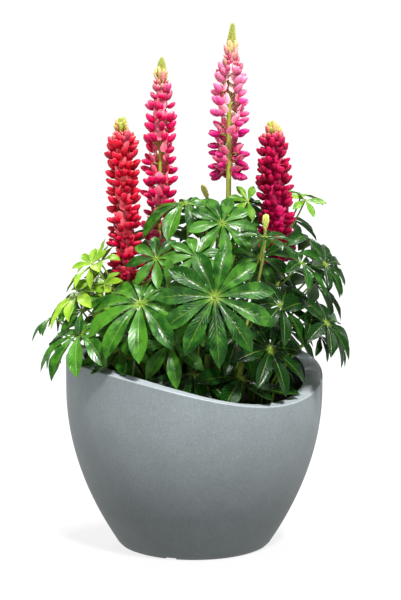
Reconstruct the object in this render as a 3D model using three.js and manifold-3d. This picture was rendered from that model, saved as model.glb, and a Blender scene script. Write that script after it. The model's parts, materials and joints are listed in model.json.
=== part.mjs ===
// Garden lupin in flower, planted in a round grey pot whose rim dips in a wave towards the front right.
// Millimetres, +Z up, -Y is the front. The origin is the centre of the pot's underside, on the ground.

import * as THREE from 'three';
import { mergeVertices } from 'three/addons/utils/BufferGeometryUtils.js';
import Module from 'manifold-3d';

const wasm = await Module();
wasm.setup();

const GAP = 0.3; // clearance between neighbouring pieces
const JOINT_GAP = 0.7; // between the lengths of one stem, whose ends aren't quite parallel

// ---------------------------------------------------------------- driving sizes

const POT = {
  radius: 198, // widest, at the rim
  bellyInset: 82, // how far the foot lies inside the rim
  bellyTop: 244, // the side is upright above this height
  footRadius: 112, // flat ring that stands on the ground
  footEdge: 6, // height of the rounded edge of the foot
  rimHeight: 295, // at the high side of the wave
  dip: 53.3, // how much lower the rim is at its lowest point
  dipAzimuth: -49, // direction of the lowest point, degrees
  dipPower: 3.75, // how tightly the dip is gathered round that direction
  lipWidth: 27.5, // flat top of the rim
  lipDepth: 40, // height of the lip's inner face
  lipSlope: 22, // height of the slope under the lip
  edgeRound: 1.8,
  wall: 7,
  floor: 8,
  waveFrom: 200, // the wave fades out between these two heights
  waveFull: 233,
  outerHeights: [30, 60, 95, 130, 165], // where the curved side has its rings
  innerHeights: [35, 70, 110, 150],
  sides: 40,
};

const GROOVE = { count: 4, firstAzimuth: -108, width: 18, height: 3.2, from: 45, to: 130 };

const SOIL = {
  level: 216,
  relief: 4, // height between its hollows and its humps
  ringRadii: [0, 60, 120, 172, 230],
  blankTop: 293, // the filling is cut down to its level from here
  airTop: 420,
  footDepth: 24, // how deep stems and stalks stand in it
  holeHeight: 80,
  sides: 20,
};

const STEM = { sides: 6, steps: 6, baseHeight: 6 }; // stems and stalks stand upright for baseHeight over the soil

const PETIOLE = {
  radius: 2.2,
  sides: 4,
  steps: 5,
  top: 2.4, // starts this far under the hub
  lead: 10, // leaves the hub at right angles for this far, and for a share of its height more
  leadShare: 0.22,
  footShare: 0.5, // upright over its foot for this share of its height
};

// Feet of the leaf stalks: the hubs' heights between which the foot moves from the outer to the inner radius,
// and the largest share of the hub's own distance from the middle.
const CROWN = { lowHub: 290, highHub: 520, inner: 34, outer: 104, share: 0.72 };

const BLADE = {
  thickness: 1.4, // at the midrib; the margins are sharp
  steps: 12, // steps in which a leaflet's midline is worked out
  stationsBroad: [4, 8], // steps where a large leaflet has a cross-section
  stationsSmall: [7],
  widths: { 4: 0.62, 7: 1, 8: 1 }, // share of the full width there
  root: 0.07, // leaflets part at this share of their length from the hub
  lift: 0.15,
  fold: 0.22, // the halves rise from the midrib by this slope
  half: 0.165, // largest half width as a share of the leaf's length, and for many leaflets divided by their count
  halfRound: 1.6,
  meanLength: 0.88, // leaflets on the lower side are longer by slopeGain and those on the upper side shorter
  slopeGain: 0.12,
  variation: 0.1, // how much the leaflets of one leaf differ in length
  bow: 1.6, // how strongly sag bends a leaflet, away from the face and down
  bowBack: 0.6,
  bowDown: 0.4,
  testedFrom: 3, // step from which a leaflet is tested for room, and its width there
  testedWidth: 0.5,
};

const HUB = { rise: 0.8, guardRadius: 0.26, guardAbove: 3, guardBelow: 4, guardSides: 8 };

const WHORL = {
  florets: 6,
  core: 3.2, // radius of the green axis inside the flowers
  coreShare: 0.55, // among buds it is this share of the spike's radius
  topShare: 0.7, // and this share where the cone of buds begins
  budRise: 25, // florets rise from the level by these angles
  openRise: 12,
  riseSpread: 5,
  budZone: 45, // height over which buds turn into open flowers
  budPitch: 0.5, // rows of buds are this much closer
  crestRoom: 5,
};

const FLORET = {
  waist: 0.58, // widest at this share of its length
  width: 0.52, // half width there, as a share of the way from the axis
  crest: 0.8, // heights over and under the waist, as shares of the whorl's room
  keel: 0.6,
  shoulder: 0.1,
  beak: 0.12,
  root: 0.2,
  spread: 0.14, // how much the florets of a whorl differ in length
};

const BUD = { sides: 8, rowHeight: 7, fewestRows: 3, youngRows: 4, proud: 1.1, sunk: 0.86 };

// The spikes: where each one roots, where its flowers begin, its tip, and how its upper part leans (power).
// reach gives the spike's radius at distances below its tip.
const SPIKES = [
  {
    name: 'left', finish: 'petalRed', stem: 3.8, cone: 13, pitch: 18, lean: 0.5,
    root: [-46, -10], low: [-103, -30, 396], tip: [-113.5, -30, 660],
    reach: [[0, 1], [10, 8], [25, 13], [37, 21], [50, 26], [300, 27]],
  },
  {
    name: 'centre_left', finish: 'petalCoral', stem: 4, cone: 28, pitch: 19, lean: 1,
    root: [-30, 26], low: [-55, 40, 398], tip: [-48, 40, 752.5],
    reach: [[0, 1], [12, 6.5], [28, 9], [45, 12], [68, 19], [90, 24], [130, 27], [360, 27]],
  },
  {
    name: 'tall', finish: 'petalPink', stem: 4.3, cone: 40, pitch: 19.5, lean: 3,
    root: [27, -4], low: [52.5, 0, 558], tip: [58.5, 0, 802],
    reach: [[0, 1], [6, 4], [33, 8.5], [66, 13], [78, 24], [150, 31], [250, 33]],
  },
  {
    name: 'right', finish: 'petalCrimson', stem: 3.8, cone: 15, pitch: 18.5, lean: 0.45,
    root: [64, 10], low: [134, 10, 436], tip: [121.5, 10, 655],
    reach: [[0, 1], [10, 7.5], [25, 14], [38, 22], [62, 25], [112, 30], [220, 29]],
  },
];

const YOUNG_SPIKES = [
  { name: 'right', stem: 2.3, root: [58, -40], low: [106, -62, 493], tip: [107.5, -60, 517], lean: 1, girth: 6 },
  { name: 'back', stem: 2, root: [8, 44], low: [20, 50, 533], tip: [11, 50, 556], lean: 1, girth: 5.5 },
];

// A young spike's radius is girth times the sine of an angle that runs between these shares of a half turn.
const YOUNG_SHAPE = { from: 0.12, to: 0.8, neck: 3 };

// The leaves. at: hub; face: azimuth and tilt of the upper side, degrees; length: longest leaflets;
// sag: how much they bend down; spin: turn about the hub, degrees; foot: where the stalk roots, if not by rule.
const LEAVES = [
  { at: [30, -150, 401], face: [-88, 68], length: 95, leaflets: 11, sag: 0.35, spin: 3, broad: true },
  { at: [-78, -138, 390], face: [-105, 40], length: 92, leaflets: 10, sag: 0.7, spin: 10, broad: true },
  { at: [-168, -118, 343], face: [-140, 32], length: 80, leaflets: 9, sag: 0.85, spin: 0, broad: true },
  {
    at: [-147, -48, 439], foot: [-70, -24], face: [172, 30], length: 62, leaflets: 8, sag: 0.6, spin: 15,
    young: true,
  },
  {
    at: [-176, -66, 392], foot: [-78, -42], face: [-160, 35], length: 58, leaflets: 8, sag: 0.6, spin: 5,
    young: true,
  },
  { at: [-214, -14, 356], face: [178, 32], length: 50, leaflets: 7, sag: 0.7, spin: 12 },
  { at: [-14, -14, 528], face: [-115, 16], length: 82, leaflets: 9, sag: 1, spin: 0, broad: true },
  { at: [42, -62, 502], face: [-80, 55], length: 60, leaflets: 9, sag: 0.3, spin: 0, broad: true },
  { at: [-56, -92, 452], face: [-100, 58], length: 50, leaflets: 8, sag: 0.4, spin: 10 },
  { at: [-2, -96, 281], face: [-70, 36], length: 86, leaflets: 10, sag: 0.4, spin: 0, broad: true },
  { at: [71, -76, 270], face: [-45, 34], length: 92, leaflets: 9, sag: 0.3, spin: 20, broad: true },
  { at: [177, -62, 376], face: [-15, 42], length: 88, leaflets: 9, sag: 0.8, spin: 5, broad: true },
  { at: [160, -70, 443], face: [-25, 42], length: 58, leaflets: 8, sag: 0.5, spin: 0 },
  {
    at: [167, 60, 538], foot: [46, 22], face: [20, 15], length: 42, leaflets: 6, sag: 0.4, spin: 10,
    young: true,
  },
  { at: [180, 26, 470], face: [0, 34], length: 74, leaflets: 8, sag: 0.9, spin: 8 },
  { at: [128, -112, 384], face: [-45, 50], length: 68, leaflets: 9, sag: 0.6, spin: 14 },
  { at: [104, -92, 484], face: [-60, 14], length: 50, leaflets: 7, sag: 0.3, spin: 0 },
  { at: [84, 36, 526], face: [60, 25], length: 52, leaflets: 8, sag: 0.5, spin: 0 },
  { at: [146, 92, 500], face: [40, 30], length: 58, leaflets: 8, sag: 0.5, spin: 18 },
  { at: [-112, -108, 318], foot: [-64, -72], face: [-130, 52], length: 62, leaflets: 8, sag: 0.5, spin: 0 },
  { at: [-34, -122, 330], face: [-95, 62], length: 66, leaflets: 8, sag: 0.4, spin: 10 },
  { at: [66, -66, 332], face: [-65, 50], length: 72, leaflets: 9, sag: 0.4, spin: 5 },
  { at: [112, -120, 320], foot: [102, -58], face: [-50, 55], length: 74, leaflets: 8, sag: 0.5, spin: 0 },
  { at: [2, -100, 456], face: [-92, 45], length: 52, leaflets: 8, sag: 0.4, spin: 12 },
  { at: [-14, 150, 404], face: [95, 60], length: 86, leaflets: 10, sag: 0.4, spin: 0, broad: true },
  { at: [-104, 118, 412], face: [130, 44], length: 80, leaflets: 9, sag: 0.6, spin: 8, broad: true },
  { at: [82, 140, 420], face: [62, 48], length: 80, leaflets: 9, sag: 0.6, spin: 4 },
  { at: [-178, 44, 384], face: [160, 42], length: 74, leaflets: 9, sag: 0.7, spin: 0 },
  { at: [188, 76, 398], foot: [70, 40], face: [22, 45], length: 74, leaflets: 8, sag: 0.7, spin: 12 },
  { at: [-60, 106, 474], foot: [-26, 70], face: [112, 30], length: 62, leaflets: 8, sag: 0.5, spin: 6 },
  { at: [14, 104, 496], foot: [12, 62], face: [85, 42], length: 62, leaflets: 8, sag: 0.5, spin: 0 },
  { at: [-58, 158, 318], face: [110, 56], length: 76, leaflets: 8, sag: 0.5, spin: 10 },
  { at: [56, 164, 322], face: [70, 58], length: 76, leaflets: 8, sag: 0.5, spin: 0 },
  { at: [148, 120, 318], face: [40, 54], length: 72, leaflets: 8, sag: 0.6, spin: 7 },
  { at: [-146, 104, 336], face: [142, 52], length: 72, leaflets: 8, sag: 0.6, spin: 3 },
  { at: [206, 2, 334], face: [0, 52], length: 66, leaflets: 8, sag: 0.7, spin: 10 },
  { at: [-196, -70, 336], face: [-162, 50], length: 54, leaflets: 7, sag: 0.7, spin: 0 },
  { at: [44, 68, 506], foot: [24, 40], face: [80, 20], length: 54, leaflets: 7, sag: 0.6, spin: 15 },
  { at: [104, 72, 436], face: [30, 30], length: 60, leaflets: 8, sag: 0.5, spin: 0 },
  { at: [-96, 6, 330], face: [-170, 25], length: 70, leaflets: 8, sag: 0.4, spin: 9 },
  { at: [-16, 58, 404], foot: [-22, 46], face: [-60, 20], length: 74, leaflets: 9, sag: 0.5, spin: 0 },
  { at: [94, 30, 330], face: [10, 30], length: 72, leaflets: 8, sag: 0.4, spin: 14 },
];

// How a leaflet may be bent or shortened until it is clear of what grows before it.
const BENDS = {
  sag: [0, 0.2, -0.2, 0.4, -0.4, 0.65, -0.65, 0.95, -0.95],
  reach: [1, 0.85, 0.7],
  clearance: 0.6,
};

const FINISHES = {
  pot: { color: '#8a9496', roughness: 0.6 },
  soil: { color: '#2b211a', roughness: 1 },
  stem: { color: '#9bab3a', roughness: 0.5 },
  bud: { color: '#b9c73e', roughness: 0.6 },
  petalRed: { color: '#ca2a3a', roughness: 0.55 },
  petalCoral: { color: '#cf4a62', roughness: 0.55 },
  petalPink: { color: '#d87aa0', roughness: 0.55 },
  petalCrimson: { color: '#a81443', roughness: 0.55 },
  leaf: { color: '#34702f', roughness: 0.35 },
  leafYoung: { color: '#9fb83a', roughness: 0.4 },
};

// ---------------------------------------------------------------- small helpers

const UP = new THREE.Vector3(0, 0, 1);
const vec = (x, y, z) => new THREE.Vector3(x, y, z);
const radians = THREE.MathUtils.degToRad;
const lerp = THREE.MathUtils.lerp;
const clamp = THREE.MathUtils.clamp;

/** A fixed pseudo-random number from 0 to 1 for every n. */
function noise(n) {
  const x = Math.sin(n * 12.9898) * 43758.5453;
  return x - Math.floor(x);
}

/** start plus a sum of [direction, distance] steps. */
function offset(start, ...moves) {
  const point = start.clone();
  for (const [direction, distance] of moves) point.addScaledVector(direction, distance);
  return point;
}

function geometryFrom(points, faces) {
  const geometry = new THREE.BufferGeometry();
  geometry.setAttribute('position', new THREE.Float32BufferAttribute(points.flatMap((p) => p.toArray()), 3));
  geometry.setIndex(faces.flat());
  return geometry;
}

/** Keeps only positions and merges shared vertices, as a boolean or a closed mesh needs. */
function welded(geometry) {
  geometry.deleteAttribute('normal');
  geometry.deleteAttribute('uv');
  return mergeVertices(geometry, 1e-4);
}

function toSolid(geometry) {
  return new wasm.Manifold(new wasm.Mesh({
    numProp: 3,
    vertProperties: new Float32Array(geometry.attributes.position.array),
    triVerts: new Uint32Array(geometry.index.array),
  }));
}

function fromSolid(solid) {
  const mesh = solid.getMesh();
  const geometry = new THREE.BufferGeometry();
  geometry.setAttribute('position', new THREE.BufferAttribute(new Float32Array(mesh.vertProperties), 3));
  geometry.setIndex(new THREE.BufferAttribute(new Uint32Array(mesh.triVerts), 1));
  return geometry;
}

/** A ring of vertices round centre, in the plane of the unit vectors a and b. */
function ring(centre, a, b, radius, sides) {
  return Array.from({ length: sides }, (_, j) => {
    const angle = (2 * Math.PI * j) / sides;
    return offset(centre, [a, radius * Math.cos(angle)], [b, radius * Math.sin(angle)]);
  });
}

/** Rings along a path, each turned as little as possible from the one before; start is the first ring's a. */
function ringsAlong(path, radii, sides, start) {
  const rings = [];
  let a = start.clone();
  path.forEach((point, i) => {
    const before = path[Math.max(i - 1, 0)];
    const after = path[Math.min(i + 1, path.length - 1)];
    const along = after.clone().sub(before).normalize();
    a = offset(a, [along, -a.dot(along)]).normalize();
    rings.push(ring(point, a, a.clone().cross(along), radii[i], sides));
  });
  return rings;
}

/** Faces of the sides between rings whose vertices start at the given offsets; the path runs downwards. */
function tubeFaces(starts, sides) {
  const faces = [];
  for (let i = 0; i + 1 < starts.length; i += 1) {
    for (let j = 0; j < sides; j += 1) {
      const k = (j + 1) % sides;
      const [upper, lower] = [starts[i], starts[i + 1]];
      faces.push([upper + j, lower + j, lower + k], [upper + j, lower + k, upper + k]);
    }
  }
  return faces;
}

function capFaces(start, sides, facingDown) {
  return Array.from({ length: sides - 2 }, (_, j) =>
    (facingDown ? [start, start + j + 2, start + j + 1] : [start, start + j + 1, start + j + 2]));
}

/** Rings of one radius along a path. */
function evenRings(path, radius, sides, start = vec(1, 0, 0)) {
  return ringsAlong(path, path.map(() => radius), sides, start);
}

/** A closed tube over rings that run downwards. */
function tube(rings) {
  const sides = rings[0].length;
  const starts = rings.map((_, i) => i * sides);
  const ends = [...capFaces(0, sides, false), ...capFaces(starts.at(-1), sides, true)];
  return geometryFrom(rings.flat(), [...tubeFaces(starts, sides), ...ends]);
}

// ---------------------------------------------------------------- pot and soil

/** Outer radius of the pot at height z. */
function potRadius(z) {
  const below = Math.max(POT.bellyTop - z, 0) / POT.bellyTop;
  return POT.radius - POT.bellyInset * below ** 2;
}

/** How far the rim lies below its highest point in the direction azimuth (radians). */
function rimDip(azimuth) {
  return POT.dip * ((1 + Math.cos(azimuth - radians(POT.dipAzimuth))) / 2) ** POT.dipPower;
}

/** Turns a profile of [radius, height] points round the Z axis; the rim's wave pulls its upper part down. */
function turned(profile, sides) {
  const lathe = new THREE.LatheGeometry(profile.map(([r, z]) => new THREE.Vector2(r, z)), sides);
  lathe.rotateX(Math.PI / 2);
  const geometry = welded(lathe);
  const position = geometry.attributes.position;
  for (let i = 0; i < position.count; i += 1) {
    const [x, y, z] = [position.getX(i), position.getY(i), position.getZ(i)];
    const share = clamp((z - POT.waveFrom) / (POT.waveFull - POT.waveFrom), 0, 1);
    const lowered = z - share * rimDip(Math.atan2(y, x));
    const radius = Math.hypot(x, y);
    const scale = radius > 1 ? (radius - potRadius(z) + potRadius(lowered)) / radius : 1;
    position.setXYZ(i, x * scale, y * scale, lowered);
  }
  return geometry;
}

/** Inner wall from the floor up to the underside of the lip, moved inwards by inset. */
function innerWall(inset) {
  const heights = [...POT.innerHeights, POT.rimHeight - POT.lipDepth - POT.lipSlope];
  return heights.map((z) => [potRadius(z) - POT.wall - inset, z]);
}

function pot() {
  const { rimHeight, edgeRound, radius, lipWidth, lipDepth, footRadius, footEdge, floor } = POT;
  const mouth = radius - lipWidth;
  const side = [...POT.outerHeights, POT.waveFrom].map((z) => [potRadius(z), z]);
  const profile = [
    [0, 0], [footRadius, 0], [footRadius + footEdge, footEdge / 3], [potRadius(footEdge), footEdge], ...side,
    [radius, rimHeight - edgeRound], [radius - edgeRound, rimHeight],
    [mouth + edgeRound, rimHeight], [mouth, rimHeight - edgeRound], [mouth, rimHeight - lipDepth],
    ...innerWall(0).reverse(), [potRadius(floor) - POT.wall, floor], [0, floor],
  ];
  let solid = toSolid(turned(profile, POT.sides));
  for (let i = 0; i < GROOVE.count; i += 1) {
    const groove = new THREE.BoxGeometry(GROOVE.to - GROOVE.from, GROOVE.width, 2 * GROOVE.height);
    groove.translate((GROOVE.from + GROOVE.to) / 2, 0, 0);
    groove.rotateZ(radians(GROOVE.firstAzimuth + (i * 360) / GROOVE.count));
    solid = solid.subtract(toSolid(welded(groove)));
  }
  return fromSolid(solid);
}

/** The space above the soil, with an uneven underside. */
function airAboveSoil() {
  const { level, relief, ringRadii, airTop } = SOIL;
  const profile = [...ringRadii.map((r) => [r, level]), [ringRadii.at(-1), airTop], [0, airTop]];
  const lathe = new THREE.LatheGeometry(profile.map(([r, z]) => new THREE.Vector2(r, z)), SOIL.sides);
  lathe.rotateX(Math.PI / 2);
  const geometry = welded(lathe);
  const position = geometry.attributes.position;
  for (let i = 0; i < position.count; i += 1) {
    if (position.getZ(i) < airTop) position.setZ(i, level + relief * (noise(i + 7) - 0.5));
  }
  return toSolid(geometry);
}

/** Soil that fills the pot, with a plain hole for each foot that stands in it. */
function soil(feet) {
  const { lipDepth, lipWidth, radius, rimHeight, floor, wall } = POT;
  const mouth = radius - lipWidth - GAP;
  const profile = [
    [0, floor + GAP], [potRadius(floor) - wall - GAP, floor + GAP], ...innerWall(GAP),
    [mouth, rimHeight - lipDepth], [mouth, SOIL.blankTop], [0, SOIL.blankTop],
  ];
  let solid = toSolid(turned(profile, SOIL.sides)).subtract(airAboveSoil());
  for (const foot of feet) {
    const centre = foot.reduce((sum, p) => sum.add(p), vec(0, 0, 0)).divideScalar(foot.length);
    const outline = foot.map((p) => {
      const out = p.clone().sub(centre);
      return new THREE.Vector2(p.x, p.y).addScaledVector(new THREE.Vector2(out.x, out.y).normalize(), 1.5 * GAP);
    });
    const shape = new THREE.Shape(outline);
    const hole = new THREE.ExtrudeGeometry(shape, { depth: SOIL.holeHeight, bevelEnabled: false });
    hole.translate(0, 0, centre.z - GAP);
    solid = solid.subtract(toSolid(welded(hole)));
  }
  return fromSolid(solid);
}

// ---------------------------------------------------------------- flower spikes

/** The spike's axis at height z: a slow S from the root to the lowest flowers, then a lean to the tip. */
function axisAt(spike, z) {
  const [lowX, lowY, lowZ] = spike.low;
  if (z < lowZ) {
    const base = SOIL.level + STEM.baseHeight;
    const t = clamp((z - base) / (lowZ - base), 0, 1);
    const eased = t * t * (3 - 2 * t);
    return vec(lerp(spike.root[0], lowX, eased), lerp(spike.root[1], lowY, eased), z);
  }
  const t = ((z - lowZ) / (spike.tip[2] - lowZ)) ** spike.lean;
  return vec(lerp(lowX, spike.tip[0], t), lerp(lowY, spike.tip[1], t), z);
}

/** Radius of the spike at a distance below its tip. */
function reachAt(spike, below) {
  const i = spike.reach.findIndex(([d]) => d >= below);
  const [[d0, r0], [d1, r1]] = [spike.reach[i - 1] ?? spike.reach[0], spike.reach[i]];
  return d1 === d0 ? r1 : lerp(r0, r1, (below - d0) / (d1 - d0));
}

/** Rings of a stem from its upper end down to its foot in the soil. */
function stemRings(spike, upperEnd, sides) {
  const base = SOIL.level + STEM.baseHeight;
  const heights = Array.from({ length: STEM.steps + 1 }, (_, i) => lerp(upperEnd, base, i / STEM.steps));
  const path = [...heights, SOIL.level - SOIL.footDepth].map((z) => axisAt(spike, z));
  return evenRings(path, spike.stem, sides);
}

/** Heights of the whorls, from the lowest up, each with the room that it has. */
function whorls(spike) {
  const list = [];
  const last = spike.tip[2] - spike.low[2];
  let below = spike.cone + WHORL.crestRoom;
  for (let n = 0; ; n += 1) {
    const open = clamp((below - spike.cone) / WHORL.budZone, 0, 1);
    const room = spike.pitch * lerp(WHORL.budPitch, 1, open);
    if (below + room > last) break;
    list.push({ n, below: below + room / 2, room, open });
    below += room;
  }
  return list.reverse();
}

/** One floret's own vertices: crest, right, keel and left round its middle, and its beak. Florets of one whorl
 * fit with their crests and keels between those of the next, as whorls are turned by half a floret. */
function floretPoints(spike, whorl, index, centre, core) {
  const azimuth = (2 * Math.PI * (index + 0.5 + 0.5 * (whorl.n % 2))) / WHORL.florets;
  const seed = whorl.n * 17 + index + spike.pitch;
  const out = vec(Math.cos(azimuth), Math.sin(azimuth), 0);
  const side = UP.clone().cross(out);
  const { budRise, openRise, riseSpread } = WHORL;
  const rise = radians(lerp(budRise, openRise, whorl.open) + riseSpread * (noise(seed) - 0.5));
  const along = offset(vec(0, 0, 0), [out, Math.cos(rise)], [UP, Math.sin(rise)]);
  const tipRadius = reachAt(spike, whorl.below) * (1 + FLORET.spread * (noise(seed + 5) - 0.5));
  const length = (tipRadius - core) / Math.cos(rise);
  const foot = offset(centre, [out, core]);
  const waist = offset(foot, [along, FLORET.waist * length]);
  const half = FLORET.width * (core + FLORET.waist * length);
  const shoulder = FLORET.shoulder * whorl.room;
  return [
    offset(waist, [UP, FLORET.crest * whorl.room]),
    offset(waist, [side, half], [UP, shoulder]),
    offset(waist, [UP, -FLORET.keel * whorl.room]),
    offset(waist, [side, -half], [UP, shoulder]),
    offset(foot, [along, length], [UP, FLORET.beak * whorl.room]),
  ];
}

/** The flowers of a spike: whorls of florets that grow out of the faces of a slim stem. */
function flowers(spike) {
  const sides = WHORL.florets;
  const points = [];
  const faces = [];
  const list = whorls(spike);
  const addRing = (centre, radius, turn) => {
    const a = vec(Math.cos(turn), Math.sin(turn), 0);
    points.push(...ring(centre, a, UP.clone().cross(a), radius, sides));
    return points.length - sides;
  };
  const join = (lower, upper) => {
    for (let j = 0; j < sides; j += 1) {
      const k = (j + 1) % sides;
      faces.push([lower + j, lower + k, upper + j], [lower + k, upper + k, upper + j]);
    }
  };
  let previous = addRing(axisAt(spike, spike.low[2]), WHORL.core, 0);
  faces.push(...capFaces(previous, sides, true));
  for (const whorl of list) {
    const z = spike.tip[2] - whorl.below;
    const core = Math.max(WHORL.core, WHORL.coreShare * reachAt(spike, whorl.below) * (1 - whorl.open));
    const turn = (Math.PI / sides) * (whorl.n % 2);
    const lower = addRing(axisAt(spike, z - FLORET.root * whorl.room), core, turn);
    const upper = addRing(axisAt(spike, z + FLORET.root * whorl.room), core, turn);
    join(previous, lower);
    for (let j = 0; j < sides; j += 1) {
      const k = (j + 1) % sides;
      const start = points.length;
      points.push(...floretPoints(spike, whorl, j, axisAt(spike, z), core));
      const root = [upper + j, upper + k, lower + k, lower + j];
      for (let c = 0; c < 4; c += 1) {
        const d = (c + 1) % 4;
        faces.push([root[d], root[c], start + c], [root[d], start + c, start + d]);
        faces.push([start + d, start + c, start + 4]);
      }
    }
    previous = upper;
  }
  const top = addRing(axisAt(spike, spike.tip[2] - spike.cone), WHORL.topShare * reachAt(spike, spike.cone), 0);
  join(previous, top);
  faces.push(...capFaces(top, sides, false));
  return geometryFrom(points, faces);
}

/** The cone of closed green buds, in staggered rows: its rings from the tip down. */
function budRings(spike, height, radiusAt, rows) {
  const belows = Array.from({ length: rows + 1 }, (_, row) => lerp(1, height, row / rows));
  const path = belows.map((below) => axisAt(spike, spike.tip[2] - below));
  const rings = ringsAlong(path, belows.map(radiusAt), BUD.sides, vec(1, 0, 0));
  rings.forEach((points, row) => points.forEach((p, j) => {
    p.sub(path[row]).multiplyScalar((row + j) % 2 ? BUD.proud : BUD.sunk).add(path[row]);
  }));
  return rings;
}

/** A closed body over rings that run downwards from a pointed tip. */
function pointedTube(tipPoint, rings) {
  const sides = rings[0].length;
  const starts = rings.map((_, i) => 1 + i * sides);
  const faces = [...tubeFaces(starts, sides), ...capFaces(starts.at(-1), sides, true)];
  for (let j = 0; j < sides; j += 1) faces.push([0, 1 + j, 1 + ((j + 1) % sides)]);
  return geometryFrom([vec(...tipPoint), ...rings.flat()], faces);
}

function spikeTip(spike) {
  const rows = Math.max(BUD.fewestRows, Math.round(spike.cone / BUD.rowHeight));
  const rings = budRings(spike, spike.cone - JOINT_GAP, (below) => reachAt(spike, below), rows);
  return pointedTube(spike.tip, rings);
}

/** Rings of a young spike's stem, from just under its buds. */
function youngStemRings(spike) {
  return stemRings(spike, spike.low[2] - YOUNG_SHAPE.neck, BUD.sides);
}

/** A spike that is still a small green cone of buds on its stem, one body from tip to foot. */
function youngSpike(spike) {
  const height = spike.tip[2] - spike.low[2];
  const { from, to } = YOUNG_SHAPE;
  const girthAt = (below) => spike.girth * Math.sin(Math.PI * lerp(from, to, below / height));
  return pointedTube(spike.tip, [...budRings(spike, height, girthAt, BUD.youngRows), ...youngStemRings(spike)]);
}

// ---------------------------------------------------------------- leaves

/** Directions of a leaf: face is its upper side, slope runs down it, across is level. */
function leafFrame(leaf) {
  const [azimuth, tilt] = leaf.face.map(radians);
  const face = vec(Math.sin(tilt) * Math.cos(azimuth), Math.sin(tilt) * Math.sin(azimuth), Math.cos(tilt));
  const slope = vec(Math.cos(tilt) * Math.cos(azimuth), Math.cos(tilt) * Math.sin(azimuth), -Math.sin(tilt));
  return { hub: vec(...leaf.at), face, slope, across: face.clone().cross(slope) };
}

/** The in-plane direction at an angle (degrees) from the leaf's slope. */
function leafDirection(frame, angle) {
  return offset(vec(0, 0, 0), [frame.slope, Math.cos(radians(angle))], [frame.across, Math.sin(radians(angle))]);
}

/** Midline of leaflet k, as it leaves the hub's rim and bends down, with its width there. */
function midline(leaf, k, bend) {
  const frame = leafFrame(leaf);
  const angle = leaf.spin + (360 * k) / leaf.leaflets;
  const out = leafDirection(frame, angle);
  const length = leaf.length * bend.reach * (BLADE.meanLength + BLADE.slopeGain * Math.cos(radians(angle)))
    * (1 + BLADE.variation * (noise(leaf.at[0] + 3 * k) - 0.5));
  const points = [offset(frame.hub, [out, BLADE.root * leaf.length])];
  const directions = [out.clone()];
  for (let i = 0; i < BLADE.steps; i += 1) {
    const pull = BLADE.bow * (leaf.sag + bend.sag) * ((i + 0.5) / BLADE.steps);
    const rise = BLADE.lift - BLADE.bowBack * pull;
    const along = offset(out, [frame.face, rise], [UP, -BLADE.bowDown * pull]).normalize();
    points.push(offset(points.at(-1), [along, length / BLADE.steps]));
    directions.push(along);
  }
  const halfWidth = leaf.length * Math.min(BLADE.half, BLADE.halfRound / leaf.leaflets);
  return { points, directions, face: frame.face, halfWidth };
}

/** Cross-section of a leaflet at a step: its right and left margin and the top and bottom of its midrib. */
function section(line, step, width, thickness, spread = 0) {
  const along = line.directions[step];
  const over = offset(line.face, [along, -line.face.dot(along)]).normalize();
  const left = over.clone().cross(along).normalize();
  const half = line.halfWidth * width + spread;
  const middle = line.points[step];
  return {
    right: offset(middle, [left, -half], [over, BLADE.fold * half]),
    left: offset(middle, [left, half], [over, BLADE.fold * half]),
    top: offset(middle, [over, spread]),
    bottom: offset(middle, [over, -thickness - spread]),
  };
}

const stationsOf = (leaf) => (leaf.broad ? BLADE.stationsBroad : BLADE.stationsSmall);

/** Adds a run of leaflet sections and the tip to points and faces; first indexes the root section. */
function addBlade(points, faces, first, sections, tip) {
  let at = first;
  for (const s of sections) {
    const n = points.length;
    const next = { right: n, left: n + 1, top: n + 2, bottom: n + 3 };
    points.push(s.right, s.left, s.top, s.bottom);
    faces.push(
      [at.right, next.right, next.top], [at.right, next.top, at.top],
      [at.top, next.top, next.left], [at.top, next.left, at.left],
      [next.right, at.right, next.bottom], [next.bottom, at.right, at.bottom],
      [next.bottom, at.bottom, next.left], [next.left, at.bottom, at.left],
    );
    at = next;
  }
  const end = points.length;
  points.push(tip);
  faces.push(
    [at.right, end, at.top], [at.top, end, at.left],
    [end, at.right, at.bottom], [end, at.bottom, at.left],
  );
}

/** A leaflet alone, from a quarter of its length outwards, as a body to test for room. */
function leafletBody(leaf, k, bend, spread) {
  const line = midline(leaf, k, bend);
  const cut = (step, width) => section(line, step, width, BLADE.thickness, spread);
  const inner = cut(BLADE.testedFrom, BLADE.testedWidth);
  const sections = stationsOf(leaf).map((step) => cut(step, BLADE.widths[step]));
  const points = [inner.right, inner.left, inner.top, inner.bottom];
  const faces = [[0, 2, 3], [1, 3, 2]];
  addBlade(points, faces, { right: 0, left: 1, top: 2, bottom: 3 }, sections, line.points.at(-1));
  return toSolid(geometryFrom(points, faces));
}

/** High leaves root near the middle of the pot and low ones further out, so that their stalks don't cross. */
function defaultFoot(hub) {
  const { highHub, lowHub, inner, outer, share } = CROWN;
  const distance = Math.hypot(hub.x, hub.y);
  const wanted = lerp(outer, inner, clamp((hub.z - lowHub) / (highHub - lowHub), 0, 1));
  const radius = Math.min(wanted, share * distance);
  return [(hub.x * radius) / distance, (hub.y * radius) / distance];
}

/** Path of the stalk, from under the hub down to its foot in the soil. */
function petiolePath(leaf) {
  const { hub, face } = leafFrame(leaf);
  const [x, y] = leaf.foot ?? defaultFoot(hub);
  const rise = hub.z - SOIL.level;
  const curve = new THREE.CubicBezierCurve3(
    offset(hub, [face, -PETIOLE.top]),
    offset(hub, [face, -PETIOLE.lead - PETIOLE.leadShare * rise]),
    vec(x, y, SOIL.level + PETIOLE.footShare * rise),
    vec(x, y, SOIL.level + STEM.baseHeight),
  );
  return [...curve.getPoints(PETIOLE.steps), vec(x, y, SOIL.level - SOIL.footDepth)];
}

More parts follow.
